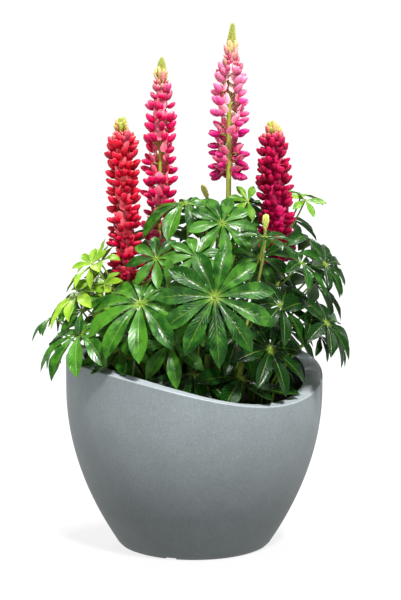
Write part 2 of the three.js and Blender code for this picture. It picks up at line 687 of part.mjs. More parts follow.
/** The stalk's rings, the first one under the hub with its corners in line with the gaps between leaflets. */
function petioleRings(leaf) {
  const start = leafDirection(leafFrame(leaf), leaf.spin - 180 / leaf.leaflets);
  return evenRings(petiolePath(leaf), PETIOLE.radius, PETIOLE.sides, start);
}

/** One leaf: hub, leaflets and stalk as a single closed body. bends holds a bend for each leaflet, or null. */
function leafBody(leaf, bends) {
  const frame = leafFrame(leaf);
  const n = leaf.leaflets;
  const root = BLADE.root * leaf.length;
  const points = [offset(frame.hub, [frame.face, HUB.rise])];
  const faces = [];
  const gaps = [];
  const ribs = [];
  for (let k = 0; k < n; k += 1) {
    const angle = leaf.spin + (360 * k) / n;
    const gapWay = leafDirection(frame, angle - 180 / n);
    const ribWay = leafDirection(frame, angle);
    gaps.push(points.length);
    points.push(offset(frame.hub, [gapWay, root]));
    ribs.push({ top: points.length, bottom: points.length + 1 });
    points.push(offset(frame.hub, [ribWay, root]));
    points.push(offset(points.at(-1), [frame.face, -BLADE.thickness]));
  }
  for (let k = 0; k < n; k += 1) {
    const first = { right: gaps[k], left: gaps[(k + 1) % n], ...ribs[k] };
    faces.push([0, first.right, first.top], [0, first.top, first.left]);
    if (bends[k]) {
      const line = midline(leaf, k, bends[k]);
      const sections = stationsOf(leaf).map((step) => section(line, step, BLADE.widths[step], BLADE.thickness));
      addBlade(points, faces, first, sections, line.points.at(-1));
    } else {
      faces.push([first.top, first.right, first.bottom], [first.left, first.top, first.bottom]);
    }
  }
  const rings = petioleRings(leaf);
  const starts = rings.map((_, i) => points.length + i * PETIOLE.sides);
  points.push(...rings.flat());
  const edge = gaps.flatMap((gap, k) => [gap, ribs[k].bottom]);
  edge.forEach((from, i) => {
    const to = edge[(i + 1) % edge.length];
    const corner = Math.floor(((i + 0.5) * PETIOLE.sides) / edge.length);
    const next = Math.floor((((i + 1) % edge.length) + 0.5) * PETIOLE.sides / edge.length);
    faces.push([to, from, starts[0] + corner]);
    if (next !== corner) faces.push([to, starts[0] + corner, starts[0] + next]);
  });
  faces.push(...tubeFaces(starts, PETIOLE.sides), ...capFaces(starts.at(-1), PETIOLE.sides, true));
  return geometryFrom(points, faces);
}

/** A flat disc over the middle of a leaf, that other leaves stay clear of. */
function hubGuard(leaf) {
  const frame = leafFrame(leaf);
  const sides = HUB.guardSides;
  const rim = ring(frame.hub, frame.slope, frame.across, HUB.guardRadius * leaf.length, sides);
  const heights = [HUB.guardAbove, -HUB.guardBelow];
  const middle = heights.map((height) => offset(frame.hub, [frame.face, height]));
  const faces = rim.flatMap((_, j) => [[sides, j, (j + 1) % sides], [sides + 1, (j + 1) % sides, j]]);
  return toSolid(geometryFrom([...rim, ...middle], faces));
}

/** A body among those that a leaflet has to clear, with its box for a quick test. */
function obstacle(solid, owner) {
  const { min, max } = solid.boundingBox();
  return { solid, owner, box: new THREE.Box3(vec(...min), vec(...max)) };
}

function isClear(body, others, owner) {
  const { min, max } = body.boundingBox();
  const box = new THREE.Box3(vec(...min), vec(...max));
  return others.every((other) => other.owner === owner || !box.intersectsBox(other.box)
    || body.intersect(other.solid).isEmpty());
}

/** Bends each leaflet clear of what is already there; one that finds no room is left out. */
function settleLeaf(leaf, others) {
  const siblings = [];
  const own = obstacle(toSolid(tube(evenRings(petiolePath(leaf).slice(1), PETIOLE.radius, PETIOLE.sides))));
  return Array.from({ length: leaf.leaflets }, (_, k) => {
    for (const reach of BENDS.reach) {
      for (const sag of BENDS.sag) {
        const bend = { reach, sag };
        const wide = leafletBody(leaf, k, bend, BENDS.clearance);
        const slim = leafletBody(leaf, k, bend, 0);
        if (isClear(wide, others, leaf) && isClear(slim, siblings) && isClear(slim, [own])) {
          siblings.push(obstacle(slim));
          return bend;
        }
      }
    }
    return null;
  });
}

// ---------------------------------------------------------------- assembly

const plant = new THREE.Group();

function add(name, geometry, finish) {
  const mesh = new THREE.Mesh(geometry, new THREE.MeshStandardMaterial({ metalness: 0, ...FINISHES[finish] }));
  mesh.name = name;
  plant.add(mesh);
  return toSolid(geometry);
}

const feet = [];
const standing = [];

standing.push(obstacle(add('pot', pot(), 'pot')));
for (const spike of SPIKES) {
  const rings = stemRings(spike, spike.low[2] - JOINT_GAP, STEM.sides);
  standing.push(obstacle(add(`spike_${spike.name}_stem`, tube(rings), 'stem')));
  standing.push(obstacle(add(`spike_${spike.name}_flowers`, flowers(spike), spike.finish)));
  standing.push(obstacle(add(`spike_${spike.name}_tip`, spikeTip(spike), 'bud')));
  feet.push(rings.at(-1));
}
for (const spike of YOUNG_SPIKES) {
  standing.push(obstacle(add(`young_spike_${spike.name}`, youngSpike(spike), 'bud')));
  feet.push(youngStemRings(spike).at(-1));
}
for (const leaf of LEAVES) {
  const stalk = evenRings(petiolePath(leaf), PETIOLE.radius + GAP, PETIOLE.sides);
  standing.push(obstacle(toSolid(tube(stalk)), leaf));
  standing.push(obstacle(hubGuard(leaf), leaf));
  feet.push(petioleRings(leaf).at(-1));
}

const soilSolid = add('soil', soil(feet), 'soil');
standing.push(obstacle(soilSolid));

LEAVES.forEach((leaf, i) => {
  const bends = settleLeaf(leaf, standing);
  bends.forEach((bend, k) => {
    if (bend) standing.push(obstacle(leafletBody(leaf, k, bend, 0), leaf));
  });
  add(`leaf_${String(i + 1).padStart(2, '0')}`, leafBody(leaf, bends), leaf.young ? 'leafYoung' : 'leaf');
});

export default plant;
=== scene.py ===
"""Garden lupin in flower, rooted in a round grey pot whose rim dips in a wave.

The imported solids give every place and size. Each of them is replaced here by a finer piece of the same form.
Pieces are shaped in millimetres and brought to metres when they are finished.
"""

import json
import logging
import math
from dataclasses import dataclass, replace
from enum import Enum
from typing import Iterable, Sequence

import bmesh
import bpy
from mathutils import Matrix, Vector
from mathutils import noise as perlin
from mathutils.bvhtree import BVHTree
from mathutils.geometry import interpolate_bezier
from mathutils.kdtree import KDTree

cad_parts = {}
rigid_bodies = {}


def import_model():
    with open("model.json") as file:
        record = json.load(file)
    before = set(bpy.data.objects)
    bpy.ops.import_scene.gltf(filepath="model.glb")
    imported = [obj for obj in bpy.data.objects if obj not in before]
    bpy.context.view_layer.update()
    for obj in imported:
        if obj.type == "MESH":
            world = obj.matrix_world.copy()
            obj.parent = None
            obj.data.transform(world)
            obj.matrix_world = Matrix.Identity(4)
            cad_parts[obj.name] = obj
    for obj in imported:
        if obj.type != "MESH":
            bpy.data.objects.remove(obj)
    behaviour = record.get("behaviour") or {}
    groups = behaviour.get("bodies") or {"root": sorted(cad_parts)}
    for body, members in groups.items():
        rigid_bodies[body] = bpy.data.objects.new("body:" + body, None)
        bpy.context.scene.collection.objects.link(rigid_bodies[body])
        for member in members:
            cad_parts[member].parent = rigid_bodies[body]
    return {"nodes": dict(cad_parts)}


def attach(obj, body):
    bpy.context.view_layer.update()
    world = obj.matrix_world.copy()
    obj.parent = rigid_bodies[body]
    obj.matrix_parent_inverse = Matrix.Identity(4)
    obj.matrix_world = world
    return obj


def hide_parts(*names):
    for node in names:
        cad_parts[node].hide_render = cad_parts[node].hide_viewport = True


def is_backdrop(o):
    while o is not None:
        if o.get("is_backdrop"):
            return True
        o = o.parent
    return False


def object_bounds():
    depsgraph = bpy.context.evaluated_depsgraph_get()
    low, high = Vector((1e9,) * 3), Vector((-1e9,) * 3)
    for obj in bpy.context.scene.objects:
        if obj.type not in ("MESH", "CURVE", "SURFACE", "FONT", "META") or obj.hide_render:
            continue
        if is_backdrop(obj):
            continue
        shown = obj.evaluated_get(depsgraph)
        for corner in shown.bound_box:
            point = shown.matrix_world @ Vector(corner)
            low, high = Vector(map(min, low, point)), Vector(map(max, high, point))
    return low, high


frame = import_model()
CAD_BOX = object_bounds()

MM = 0.001
UP = Vector((0.0, 0.0, 1.0))
ROOT_BODY = "root"

PATTERN_SPAN = (0.3, 0.7)  # a noise stays between these values for the most part
FADE = (1.0, 0.0)  # full in the middle of a band and gone at its edge
# a Mix node repeats its socket names for each type of data, so its colour sockets go by number
SHARE, FIRST, SECOND, MIXED = 0, 6, 7, 2

log = logging.getLogger("lupin")


# ---------------------------------------------------------------- small helpers


def linear(hex_colour: str, alpha: float = 1.0) -> tuple[float, float, float, float]:
    """Turns an sRGB hex colour into linear light.

    Args:
        hex_colour: Six hex digits with a leading hash.
        alpha: The fourth value.

    Returns:
        Linear red, green, blue and alpha.
    """
    parts = [int(hex_colour[i : i + 2], 16) / 255 for i in (1, 3, 5)]
    red, green, blue = (c / 12.92 if c <= 0.04045 else ((c + 0.055) / 1.055) ** 2.4 for c in parts)
    return red, green, blue, alpha


def add_node(
    tree: bpy.types.NodeTree,
    kind: str,
    inputs: dict | None = None,
    stops: Sequence[tuple[float, str]] = (),
    **settings,
) -> bpy.types.Node:
    """Adds a shader node with its settings and links.

    Args:
        tree: The node tree.
        kind: The node's type name without its ShaderNode start.
        inputs: For each input, by name or number, a constant or the output that feeds it.
        stops: Positions and sRGB hex colours of a colour ramp.
        **settings: The node's own properties.

    Returns:
        The new node.
    """
    node = tree.nodes.new("ShaderNode" + kind)
    for name, value in settings.items():
        setattr(node, name, value)
    for socket, value in (inputs or {}).items():
        if isinstance(value, bpy.types.NodeSocket):
            tree.links.new(value, node.inputs[socket])
        else:
            node.inputs[socket].default_value = value
    for i, (position, colour) in enumerate(stops):
        elements = node.color_ramp.elements
        element = elements[i] if i < len(elements) else elements.new(position)
        element.position = position
        element.color = linear(colour)
    return node


def limits(**pairs: tuple) -> dict:
    """Spells out pairs of limits as a node's inputs, such as "From Min" and "From Max" for a pair named From."""
    return {f"{word} {end}": value for word, pair in pairs.items() for end, value in zip(("Min", "Max"), pair)}


def draw(n: float) -> float:
    """Returns a fixed pseudo-random number from 0 to 1 for every n."""
    x = math.sin(n * 12.9898) * 43758.5453
    return x - math.floor(x)


def lerp(a: float, b: float, t: float) -> float:
    """Returns the value a share t of the way from a to b."""
    return a + (b - a) * t


def spaced(start: float, end: float, steps: int) -> list[float]:
    """Returns the values at even steps from start to end, with both of them."""
    return [lerp(start, end, i / steps) for i in range(steps + 1)]


def clamp(x: float, low: float = 0.0, high: float = 1.0) -> float:
    """Returns x kept between low and high."""
    return max(low, min(high, x))


def on_line(points: Sequence[tuple[float, float]], x: float) -> float:
    """Reads a broken line.

    Args:
        points: Its corners as pairs of x and y, with x rising.
        x: Where to read it.

    Returns:
        The line's y at x, or its first or last y outside the corners.
    """
    for (x0, y0), (x1, y1) in zip(points, points[1:]):
        if x <= x1:
            return lerp(y0, y1, clamp((x - x0) / (x1 - x0)))
    return points[-1][1]


def polar(azimuth: float, radius: float = 1.0, z: float = 0.0) -> Vector:
    """Returns the point at an azimuth in radians, a radius and a height."""
    return Vector((radius * math.cos(azimuth), radius * math.sin(azimuth), z))


def point_tree(points: Sequence[Vector]) -> KDTree:
    """Builds a tree that finds the nearest of some points.

    Args:
        points: The points.

    Returns:
        The tree, ready for use.
    """
    tree = KDTree(len(points))
    for i, point in enumerate(points):
        tree.insert(point, i)
    tree.balance()
    return tree


def placed(origin: Vector, along: Vector, over: Vector, scale: float = 1.0) -> Matrix:
    """Builds the matrix that lays a shape's +X on along and its +Z near over.

    Args:
        origin: Where the shape's origin goes.
        along: Direction of the shape's +X.
        over: A direction near the shape's +Z.
        scale: Size of the shape.

    Returns:
        A 4 by 4 matrix.
    """
    x = along.normalized()
    y = over.cross(x).normalized()
    z = x.cross(y)
    turn = Matrix((x, y, z)).transposed().to_4x4()
    return Matrix.Translation(origin) @ turn @ Matrix.Scale(scale, 4)


def sweep(bm: bmesh.types.BMesh, path: Sequence[Vector], radii: Sequence[float], sides: int) -> list:
    """Extrudes a round section along a path into a closed stalk.

    Args:
        bm: The mesh that takes it.
        path: Points of the centre line.
        radii: The radius at each point.
        sides: Corners of the section.

    Returns:
        The new vertices.
    """
    stations = []
    side = Vector((1.0, 0.0, 0.0))
    for i, point in enumerate(path):
        along = (path[min(i + 1, len(path) - 1)] - path[max(i - 1, 0)]).normalized()
        side = (side - along * side.dot(along)).normalized()
        turn = Matrix((side, along.cross(side), along)).transposed().to_4x4()
        stations.append(Matrix.Translation(point) @ turn @ Matrix.Scale(radii[i], 4))
    start = bmesh.ops.create_circle(bm, cap_ends=True, segments=sides, radius=1.0, matrix=stations[0])
    made = list(start["verts"])
    cap = made[0].link_faces[0]
    for before, station in zip(stations, stations[1:]):
        grown = bmesh.ops.extrude_face_region(bm, geom=[cap])["geom"]
        cap = next(item for item in grown if isinstance(item, bmesh.types.BMFace))
        bmesh.ops.transform(bm, matrix=station @ before.inverted(), verts=list(cap.verts))
        made.extend(cap.verts)
    return made


def layered(*names: str) -> bmesh.types.BMesh:
    """Starts an empty mesh.

    Args:
        names: Its float attributes.

    Returns:
        The mesh.
    """
    bm = bmesh.new()
    for name in names:
        bm.verts.layers.float.new(name)
    return bm


def mesh_of(bm: bmesh.types.BMesh, name: str) -> bpy.types.Mesh:
    """Turns a mesh that was in the making into one that is kept.

    Args:
        bm: The mesh. It is freed.
        name: Its name.

    Returns:
        The kept mesh.
    """
    mesh = bpy.data.meshes.new(name)
    bm.to_mesh(mesh)
    bm.free()
    return mesh


def linked(name: str, data: bpy.types.ID) -> bpy.types.Object:
    """Puts a mesh, a light or a camera in the scene.

    Args:
        name: The object's name.
        data: What it shows.

    Returns:
        The object.
    """
    made = bpy.data.objects.new(name, data)
    bpy.context.scene.collection.objects.link(made)
    return made


def finish_piece(
    bm: bmesh.types.BMesh,
    name: str,
    material: bpy.types.Material,
    slot: str,
    replaces: Iterable[str] = (),
    sharp: float = 50.0,
) -> bpy.types.Object:
    """Turns a mesh in millimetres into a finished object in metres.

    Args:
        bm: The mesh. It is freed.
        name: The piece's name.
        material: Its finish.
        slot: The record's material slot.
        replaces: The CAD nodes that it stands for.
        sharp: Edges that bend by more than this many degrees stay crisp.

    Returns:
        The object.
    """
    bmesh.ops.scale(bm, vec=(MM, MM, MM), verts=bm.verts[:])
    mesh = mesh_of(bm, name)
    mesh.materials.append(material)
    mesh.shade_smooth()
    mesh.set_sharp_from_angle(angle=math.radians(sharp))
    piece = linked(name, mesh)
    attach(piece, ROOT_BODY)
    if replaces:
        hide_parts(*replaces)
    log.info("%s: %d faces, slot %s", name, len(mesh.polygons), slot)
    return piece


# ---------------------------------------------------------------- finishes


class Finish:
    """A material that is made once, when a piece first asks for it."""

    title: str

    def material(self) -> bpy.types.Material:
        """Makes the material at the first call and finds it again later.

        Returns:
            The material.
        """
        found = bpy.data.materials.get(self.title)
        if found:
            return found
        material = bpy.data.materials.new(self.title)
        material.use_nodes = True
        tree = material.node_tree
        tree.nodes.clear()
        shader = add_node(tree, "BsdfPrincipled")
        add_node(tree, "OutputMaterial", {"Surface": shader.outputs[0]})
        self.dress(tree, shader)
        return material

    def dress(self, tree: bpy.types.NodeTree, shader: bpy.types.Node) -> None:
        """Adds the nodes that give the shader its colour, roughness and relief."""
        raise NotImplementedError


@dataclass(frozen=True)
class MouldedPolyethylene(Finish):
    """Rotationally moulded polyethylene with stone powder in it: matt, cool grey, with a fine dry grain.

    Painted light and shade: the surface that faces up, which is the lip, is painted paler as if lit from above, and the
    wall is painted darker towards the foot and lighter towards the top.
    """

    title: str = "moulded_polyethylene"
    body: str = "#737b7d"
    speck: str = "#687173"
    pale: str = "#80888a"
    # painted light on the lip, which faces up
    painted_lip_light: str = "#acb4b8"
    painted_shade_to_light: tuple[float, float] = (0.5, 1.17)  # painted shade at the foot and painted light at the top, as shares of the body
    painted_gradient_heights: tuple[float, float] = (70.0, 235.0)  # mm; between which the painted shade of the foot turns into the painted light of the top
    grain: float = 1.6  # mm; the real grain is 0.4 mm, drawn coarser so that it shows
    mottle: float = 30.0  # mm; cloudy patches left by the powder as it melts on the mould
    clouding: tuple[float, float] = (0.94, 1.05)  # how light the darkest and the palest patches are
    painted_light_facing: tuple[float, float] = (0.35, 0.75)  # rise of the surface between the wall's colour and the painted light of the lip
    roughness: tuple[float, float] = (0.5, 0.7)

    def dress(self, tree: bpy.types.NodeTree, shader: bpy.types.Node) -> None:
        """Mixes fine specks and soft clouds, paints light and shade into the wall and the lip, and raises the specks as
        a dry grain.

        Args:
            tree: The material's node tree.
            shader: Its Principled BSDF.
        """
        place = add_node(tree, "TexCoord").outputs["Object"]
        grain = add_node(tree, "TexNoise", {"Vector": place, "Scale": 1 / (self.grain * MM), "Detail": 2.0})
        clouds = add_node(tree, "TexNoise", {"Vector": place, "Scale": 1 / (self.mottle * MM), "Detail": 3.0})
        tones = [(0.3, self.speck), (0.5, self.body), (0.72, self.pale)]
        specks = add_node(tree, "ValToRGB", {"Fac": grain.outputs["Fac"]}, tones)
        cloudy = limits(From=PATTERN_SPAN, To=self.clouding)
        shade = add_node(tree, "MapRange", {"Value": clouds.outputs["Fac"], **cloudy})
        # painted light and shade: the wall is darker towards the foot and lighter towards the top
        height = add_node(tree, "SeparateXYZ", {0: place}).outputs[2]
        rising = limits(From=[edge * MM for edge in self.painted_gradient_heights], To=self.painted_shade_to_light)
        foot = add_node(tree, "MapRange", {"Value": height, **rising})
        value = add_node(tree, "Math", {0: shade.outputs[0], 1: foot.outputs[0]}, operation="MULTIPLY")
        wall = add_node(tree, "HueSaturation", {"Value": value.outputs[0], "Color": specks.outputs["Color"]})
        # painted light: the surfaces that face up, of which the lip is the only one in sight, are painted paler as if
        # lit from above
        facing = add_node(tree, "SeparateXYZ", {0: add_node(tree, "NewGeometry").outputs["Normal"]}).outputs[2]
        lip = add_node(tree, "MapRange", {"Value": facing, **limits(From=self.painted_light_facing)})
        both = {SHARE: lip.outputs[0], FIRST: wall.outputs[0], SECOND: linear(self.painted_lip_light)}
        colour = add_node(tree, "Mix", both, data_type="RGBA")
        tree.links.new(colour.outputs[MIXED], shader.inputs["Base Color"])
        rough = add_node(tree, "MapRange", {"Value": grain.outputs["Fac"], **limits(To=self.roughness)})
        tree.links.new(rough.outputs[0], shader.inputs["Roughness"])
        relief = add_node(tree, "Bump", {"Height": grain.outputs["Fac"], "Strength": 0.25, "Distance": 0.0003})
        tree.links.new(relief.outputs[0], shader.inputs["Normal"])
        shader.inputs["IOR"].default_value = 1.5
        shader.inputs["Specular IOR Level"].default_value = 0.35


@dataclass(frozen=True)
class PottingSoil(Finish):
    """Peat-based potting soil: nearly black, crumbly, with brown fibres that catch a little light."""

    title: str = "peat_soil"
    dark: str = "#140f0b"
    brown: str = "#33261b"
    fibre: str = "#5a4632"
    crumb: float = 4.0  # mm

    def dress(self, tree: bpy.types.NodeTree, shader: bpy.types.Node) -> None:
        """Mixes crumbs and fibres, with a deep bump.

        Args:
            tree: The material's node tree.
            shader: Its Principled BSDF.
        """
        place = add_node(tree, "TexCoord").outputs["Object"]
        crumbs = add_node(
            tree, "TexNoise", {"Vector": place, "Scale": 1 / (self.crumb * MM), "Detail": 6.0, "Roughness": 0.7}
        )
        tones = [(0.35, self.dark), (0.58, self.brown), (0.78, self.fibre)]
        colour = add_node(tree, "ValToRGB", {"Fac": crumbs.outputs["Fac"]}, tones)
        tree.links.new(colour.outputs["Color"], shader.inputs["Base Color"])
        relief = add_node(tree, "Bump", {"Height": crumbs.outputs["Fac"], "Strength": 0.9, "Distance": 0.002})
        tree.links.new(relief.outputs[0], shader.inputs["Normal"])
        shader.inputs["Roughness"].default_value = 0.95


@dataclass(frozen=True)
class LeafSkin(Finish):
    """Living leaf with a thin wax coat: a satin upper side, a paler rib and side veins, a duller underside."""

    title: str
    deep: str
    blade: str
    bright: str
    rib: str
    under: str
    stalk: str
    patch: float = 16.0  # mm; size of the lighter and darker patches
    veins: float = 22.0  # side veins along a leaflet
    slant: float = 5.0  # how far they run towards the tip before they reach the margin
    vein_width: float = 0.22  # as a share of the way from one to the next
    rib_widths: tuple[float, float] = (0.075, 0.02)  # at the hub and at the tip, as shares of the leaflet's width
    hub_reach: tuple[float, float] = (0.03, 0.16)  # where the hub's colour starts to fade and where it ends
    toning: float = 0.55  # how much leaflets differ in tone, against the patches
    # how much each of these shows over the green
    vein_share: float = 0.22
    rib_share: float = 0.42
    hub_share: float = 0.85
    under_share: float = 0.8
    gloss: tuple[float, float] = (0.2, 0.34)  # roughness of the upper side
    dullness: float = 0.25  # how much rougher the underside is
    rib_depth: float = 1.6  # of its furrow, as a share of the relief
    vein_depth: float = 0.5

    def dress(self, tree: bpy.types.NodeTree, shader: bpy.types.Node) -> None:
        """Draws ribs and veins from the leaflet's own UV map, and patches from the leaf's place.

        Args:
            tree: The material's node tree.
            shader: Its Principled BSDF.
        """
        place = add_node(tree, "TexCoord").outputs["Object"]
        blade_uv = add_node(tree, "UVMap", uv_map="blade").outputs[0]
        split = add_node(tree, "SeparateXYZ", {0: blade_uv})
        centred = add_node(tree, "Math", {0: split.outputs[0], 1: 0.5}, operation="SUBTRACT")
        side = add_node(tree, "Math", {0: centred.outputs[0]}, operation="ABSOLUTE")
        # the rib is widest at the hub and fades before the tip
        rib_edge = add_node(tree, "MapRange", {"Value": split.outputs[1], **limits(To=self.rib_widths)})
        across = limits(From=(0.0, rib_edge.outputs[0]), To=FADE)
        rib = add_node(tree, "MapRange", {"Value": side.outputs[0], **across})
        along = add_node(tree, "Math", {0: split.outputs[1], 1: self.veins}, operation="MULTIPLY")
        lean = {0: side.outputs[0], 1: -2 * self.slant, 2: along.outputs[0]}
        slanted = add_node(tree, "Math", lean, operation="MULTIPLY_ADD")
        phase = add_node(tree, "Math", {0: slanted.outputs[0], 1: 1.0}, operation="PINGPONG")
        vein = add_node(tree, "MapRange", {"Value": phase.outputs[0], **limits(From=(0.0, self.vein_width), To=FADE)})
        patches = add_node(tree, "TexNoise", {"Vector": place, "Scale": 1 / (self.patch * MM), "Detail": 3.0})
        tone = add_node(tree, "Attribute", attribute_name="tone").outputs["Fac"]
        toned = add_node(tree, "Math", {0: tone, 1: self.toning, 2: patches.outputs["Fac"]}, operation="MULTIPLY_ADD")
        greens = [(0.3, self.deep), (0.55, self.blade), (0.85, self.bright)]
        skin = add_node(tree, "ValToRGB", {"Fac": toned.outputs[0]}, greens)
        veined = add_node(tree, "Math", {0: vein.outputs[0], 1: self.vein_share}, operation="MULTIPLY")
        ribbed = add_node(tree, "Math", {0: rib.outputs[0], 1: self.rib_share}, operation="MULTIPLY")
        near = limits(From=self.hub_reach, To=(self.hub_share, 0.0))
        rooted = add_node(tree, "MapRange", {"Value": split.outputs[1], **near})
        below = add_node(tree, "Attribute", attribute_name="under").outputs["Fac"]
        turned = add_node(tree, "Math", {0: below, 1: self.under_share}, operation="MULTIPLY")
        on_stalk = add_node(tree, "Attribute", attribute_name="stalk").outputs["Fac"]
        colour = skin.outputs[0]
        # a leaflet has its rib's yellow-green where it leaves the hub as well
        for share, tint in (
            (veined.outputs[0], self.bright),
            (ribbed.outputs[0], self.rib),
            (rooted.outputs[0], self.rib),
            (turned.outputs[0], self.under),
            (on_stalk, self.stalk),
        ):
            coat = {SHARE: share, FIRST: colour, SECOND: linear(tint)}
            colour = add_node(tree, "Mix", coat, data_type="RGBA").outputs[MIXED]
        tree.links.new(colour, shader.inputs["Base Color"])
        satin = limits(From=PATTERN_SPAN, To=self.gloss)
        gloss = add_node(tree, "MapRange", {"Value": patches.outputs["Fac"], **satin})
        rough = add_node(tree, "Math", {0: below, 1: self.dullness, 2: gloss.outputs[0]}, operation="MULTIPLY_ADD")
        tree.links.new(rough.outputs[0], shader.inputs["Roughness"])
        sunk = add_node(tree, "Math", {0: rib.outputs[0], 1: -self.rib_depth}, operation="MULTIPLY")
        dips = {0: vein.outputs[0], 1: -self.vein_depth, 2: sunk.outputs[0]}
        furrows = add_node(tree, "Math", dips, operation="MULTIPLY_ADD")
        relief = add_node(tree, "Bump", {"Height": furrows.outputs[0], "Strength": 0.5, "Distance": 0.0006})
        tree.links.new(relief.outputs[0], shader.inputs["Normal"])
        shader.inputs["IOR"].default_value = 1.45
        shader.inputs["Specular IOR Level"].default_value = 0.3


OPEN_AGE = 0.3  # age of a flower that has just opened, where the oldest is 1


@dataclass(frozen=True)
class Petal(Finish):
    """Fresh pea-flower petals: satin, with pale margins that also stand for painted light on top of each flower,
    painted shade at its heart, under its keel and in its crease, faint streaks, and paler when young.
    """

    title: str
    wings: tuple[tuple[float, str], ...]  # colour of the wings from the youngest flowers, 0, to the oldest, 1
    banners: tuple[tuple[float, str], ...]  # the same for the upright petals
    margin: str
    margin_share: float = 0.7  # how much of the margin's colour shows on a flower that has just opened
    margin_kept: float = 0.4  # the share of it that is left on the oldest
    margin_power: float = 3.0  # how narrow it is
    seam: str = "#f4ecc0"  # the same margins on a bud
    seam_ages: tuple[float, float] = (0.12, OPEN_AGE)  # between which they turn
    painted_throat_shade: float = 0.5  # how light the painted shade at the heart of a flower is, as a share of the petal's own colour
    painted_shade_reach: tuple[float, float] = (0.1, 0.45)  # how far the painted shade reaches towards the margin
    days: float = 0.18  # how far apart neighbours are in age
    streak: float = 2.5  # mm
    chance_share: float = 0.5  # how much whole flowers differ, against their streaks
    mixture: tuple[float, float] = (0.45, 1.05)  # what both together keep within, for the most part
    lightness: tuple[float, float] = (0.76, 1.6)  # how light that makes the darkest and the palest
    saturation: float = 1.06

    def dress(self, tree: bpy.types.NodeTree, shader: bpy.types.Node) -> None:
        """Colours each petal by its age, its kind and the way from its heart to its margin, with painted shade at the
        heart and painted light on the margins.

        Args:
            tree: The material's node tree.
            shader: Its Principled BSDF.
        """
        place = add_node(tree, "TexCoord").outputs["Object"]
        age = add_node(tree, "Attribute", attribute_name="age").outputs["Fac"]
        kind = add_node(tree, "Attribute", attribute_name="banner").outputs["Fac"]
        margin = add_node(tree, "Attribute", attribute_name="margin").outputs["Fac"]
        chance = add_node(tree, "Attribute", attribute_name="chance").outputs["Fac"]
        # neighbours open on different days, so their ages differ a little
        early = add_node(tree, "Math", {0: chance, 1: self.days, 2: age}, operation="MULTIPLY_ADD")
        days = add_node(tree, "Math", {0: early.outputs[0], 1: self.days / 2}, operation="SUBTRACT").outputs[0]
        wings = add_node(tree, "ValToRGB", {"Fac": days}, self.wings)
        banners = add_node(tree, "ValToRGB", {"Fac": days}, self.banners)
        kinds = {SHARE: kind, FIRST: wings.outputs[0], SECOND: banners.outputs[0]}
        petal = add_node(tree, "Mix", kinds, data_type="RGBA")
        edge = add_node(tree, "Math", {0: margin, 1: self.margin_power}, operation="POWER")
        # the pale margins darken as a flower ages
        ageing = limits(From=(OPEN_AGE, 1.0), To=(self.margin_share, self.margin_kept * self.margin_share))
        fading = add_node(tree, "MapRange", {"Value": age, **ageing})
        edge_share = add_node(tree, "Math", {0: edge.outputs[0], 1: fading.outputs[0]}, operation="MULTIPLY")
        # a bud's seams are cream
        opened = add_node(tree, "MapRange", {"Value": age, **limits(From=self.seam_ages)})
        hems = {SHARE: opened.outputs[0], FIRST: linear(self.seam), SECOND: linear(self.margin)}
        margins = add_node(tree, "Mix", hems, data_type="RGBA")
        hemmed = {SHARE: edge_share.outputs[0], FIRST: petal.outputs[MIXED], SECOND: margins.outputs[MIXED]}
        edged = add_node(tree, "Mix", hemmed, data_type="RGBA")
        # painted shade: each flower is darkest at its heart, under its keel and in its crease, where shade falls
        deep = limits(From=self.painted_shade_reach, To=(self.painted_throat_shade, 1.0))
        painted_throat_shade = add_node(tree, "MapRange", {"Value": margin, **deep})
        streaks = add_node(tree, "TexNoise", {"Vector": place, "Scale": 1 / (self.streak * MM), "Detail": 2.0})
        both = {0: chance, 1: self.chance_share, 2: streaks.outputs["Fac"]}
        mixed = add_node(tree, "Math", both, operation="MULTIPLY_ADD")
        light = limits(From=self.mixture, To=self.lightness)
        spread = add_node(tree, "MapRange", {"Value": mixed.outputs[0], **light})
        value = add_node(tree, "Math", {0: spread.outputs[0], 1: painted_throat_shade.outputs[0]}, operation="MULTIPLY")
        vivid = {"Value": value.outputs[0], "Saturation": self.saturation, "Color": edged.outputs[MIXED]}
        colour = add_node(tree, "HueSaturation", vivid)
        tree.links.new(colour.outputs[0], shader.inputs["Base Color"])
        relief = add_node(tree, "Bump", {"Height": streaks.outputs["Fac"], "Strength": 0.15, "Distance": 0.0005})
        tree.links.new(relief.outputs[0], shader.inputs["Normal"])
        shader.inputs["Roughness"].default_value = 0.38
        shader.inputs["IOR"].default_value = 1.4
        shader.inputs["Specular IOR Level"].default_value = 0.3


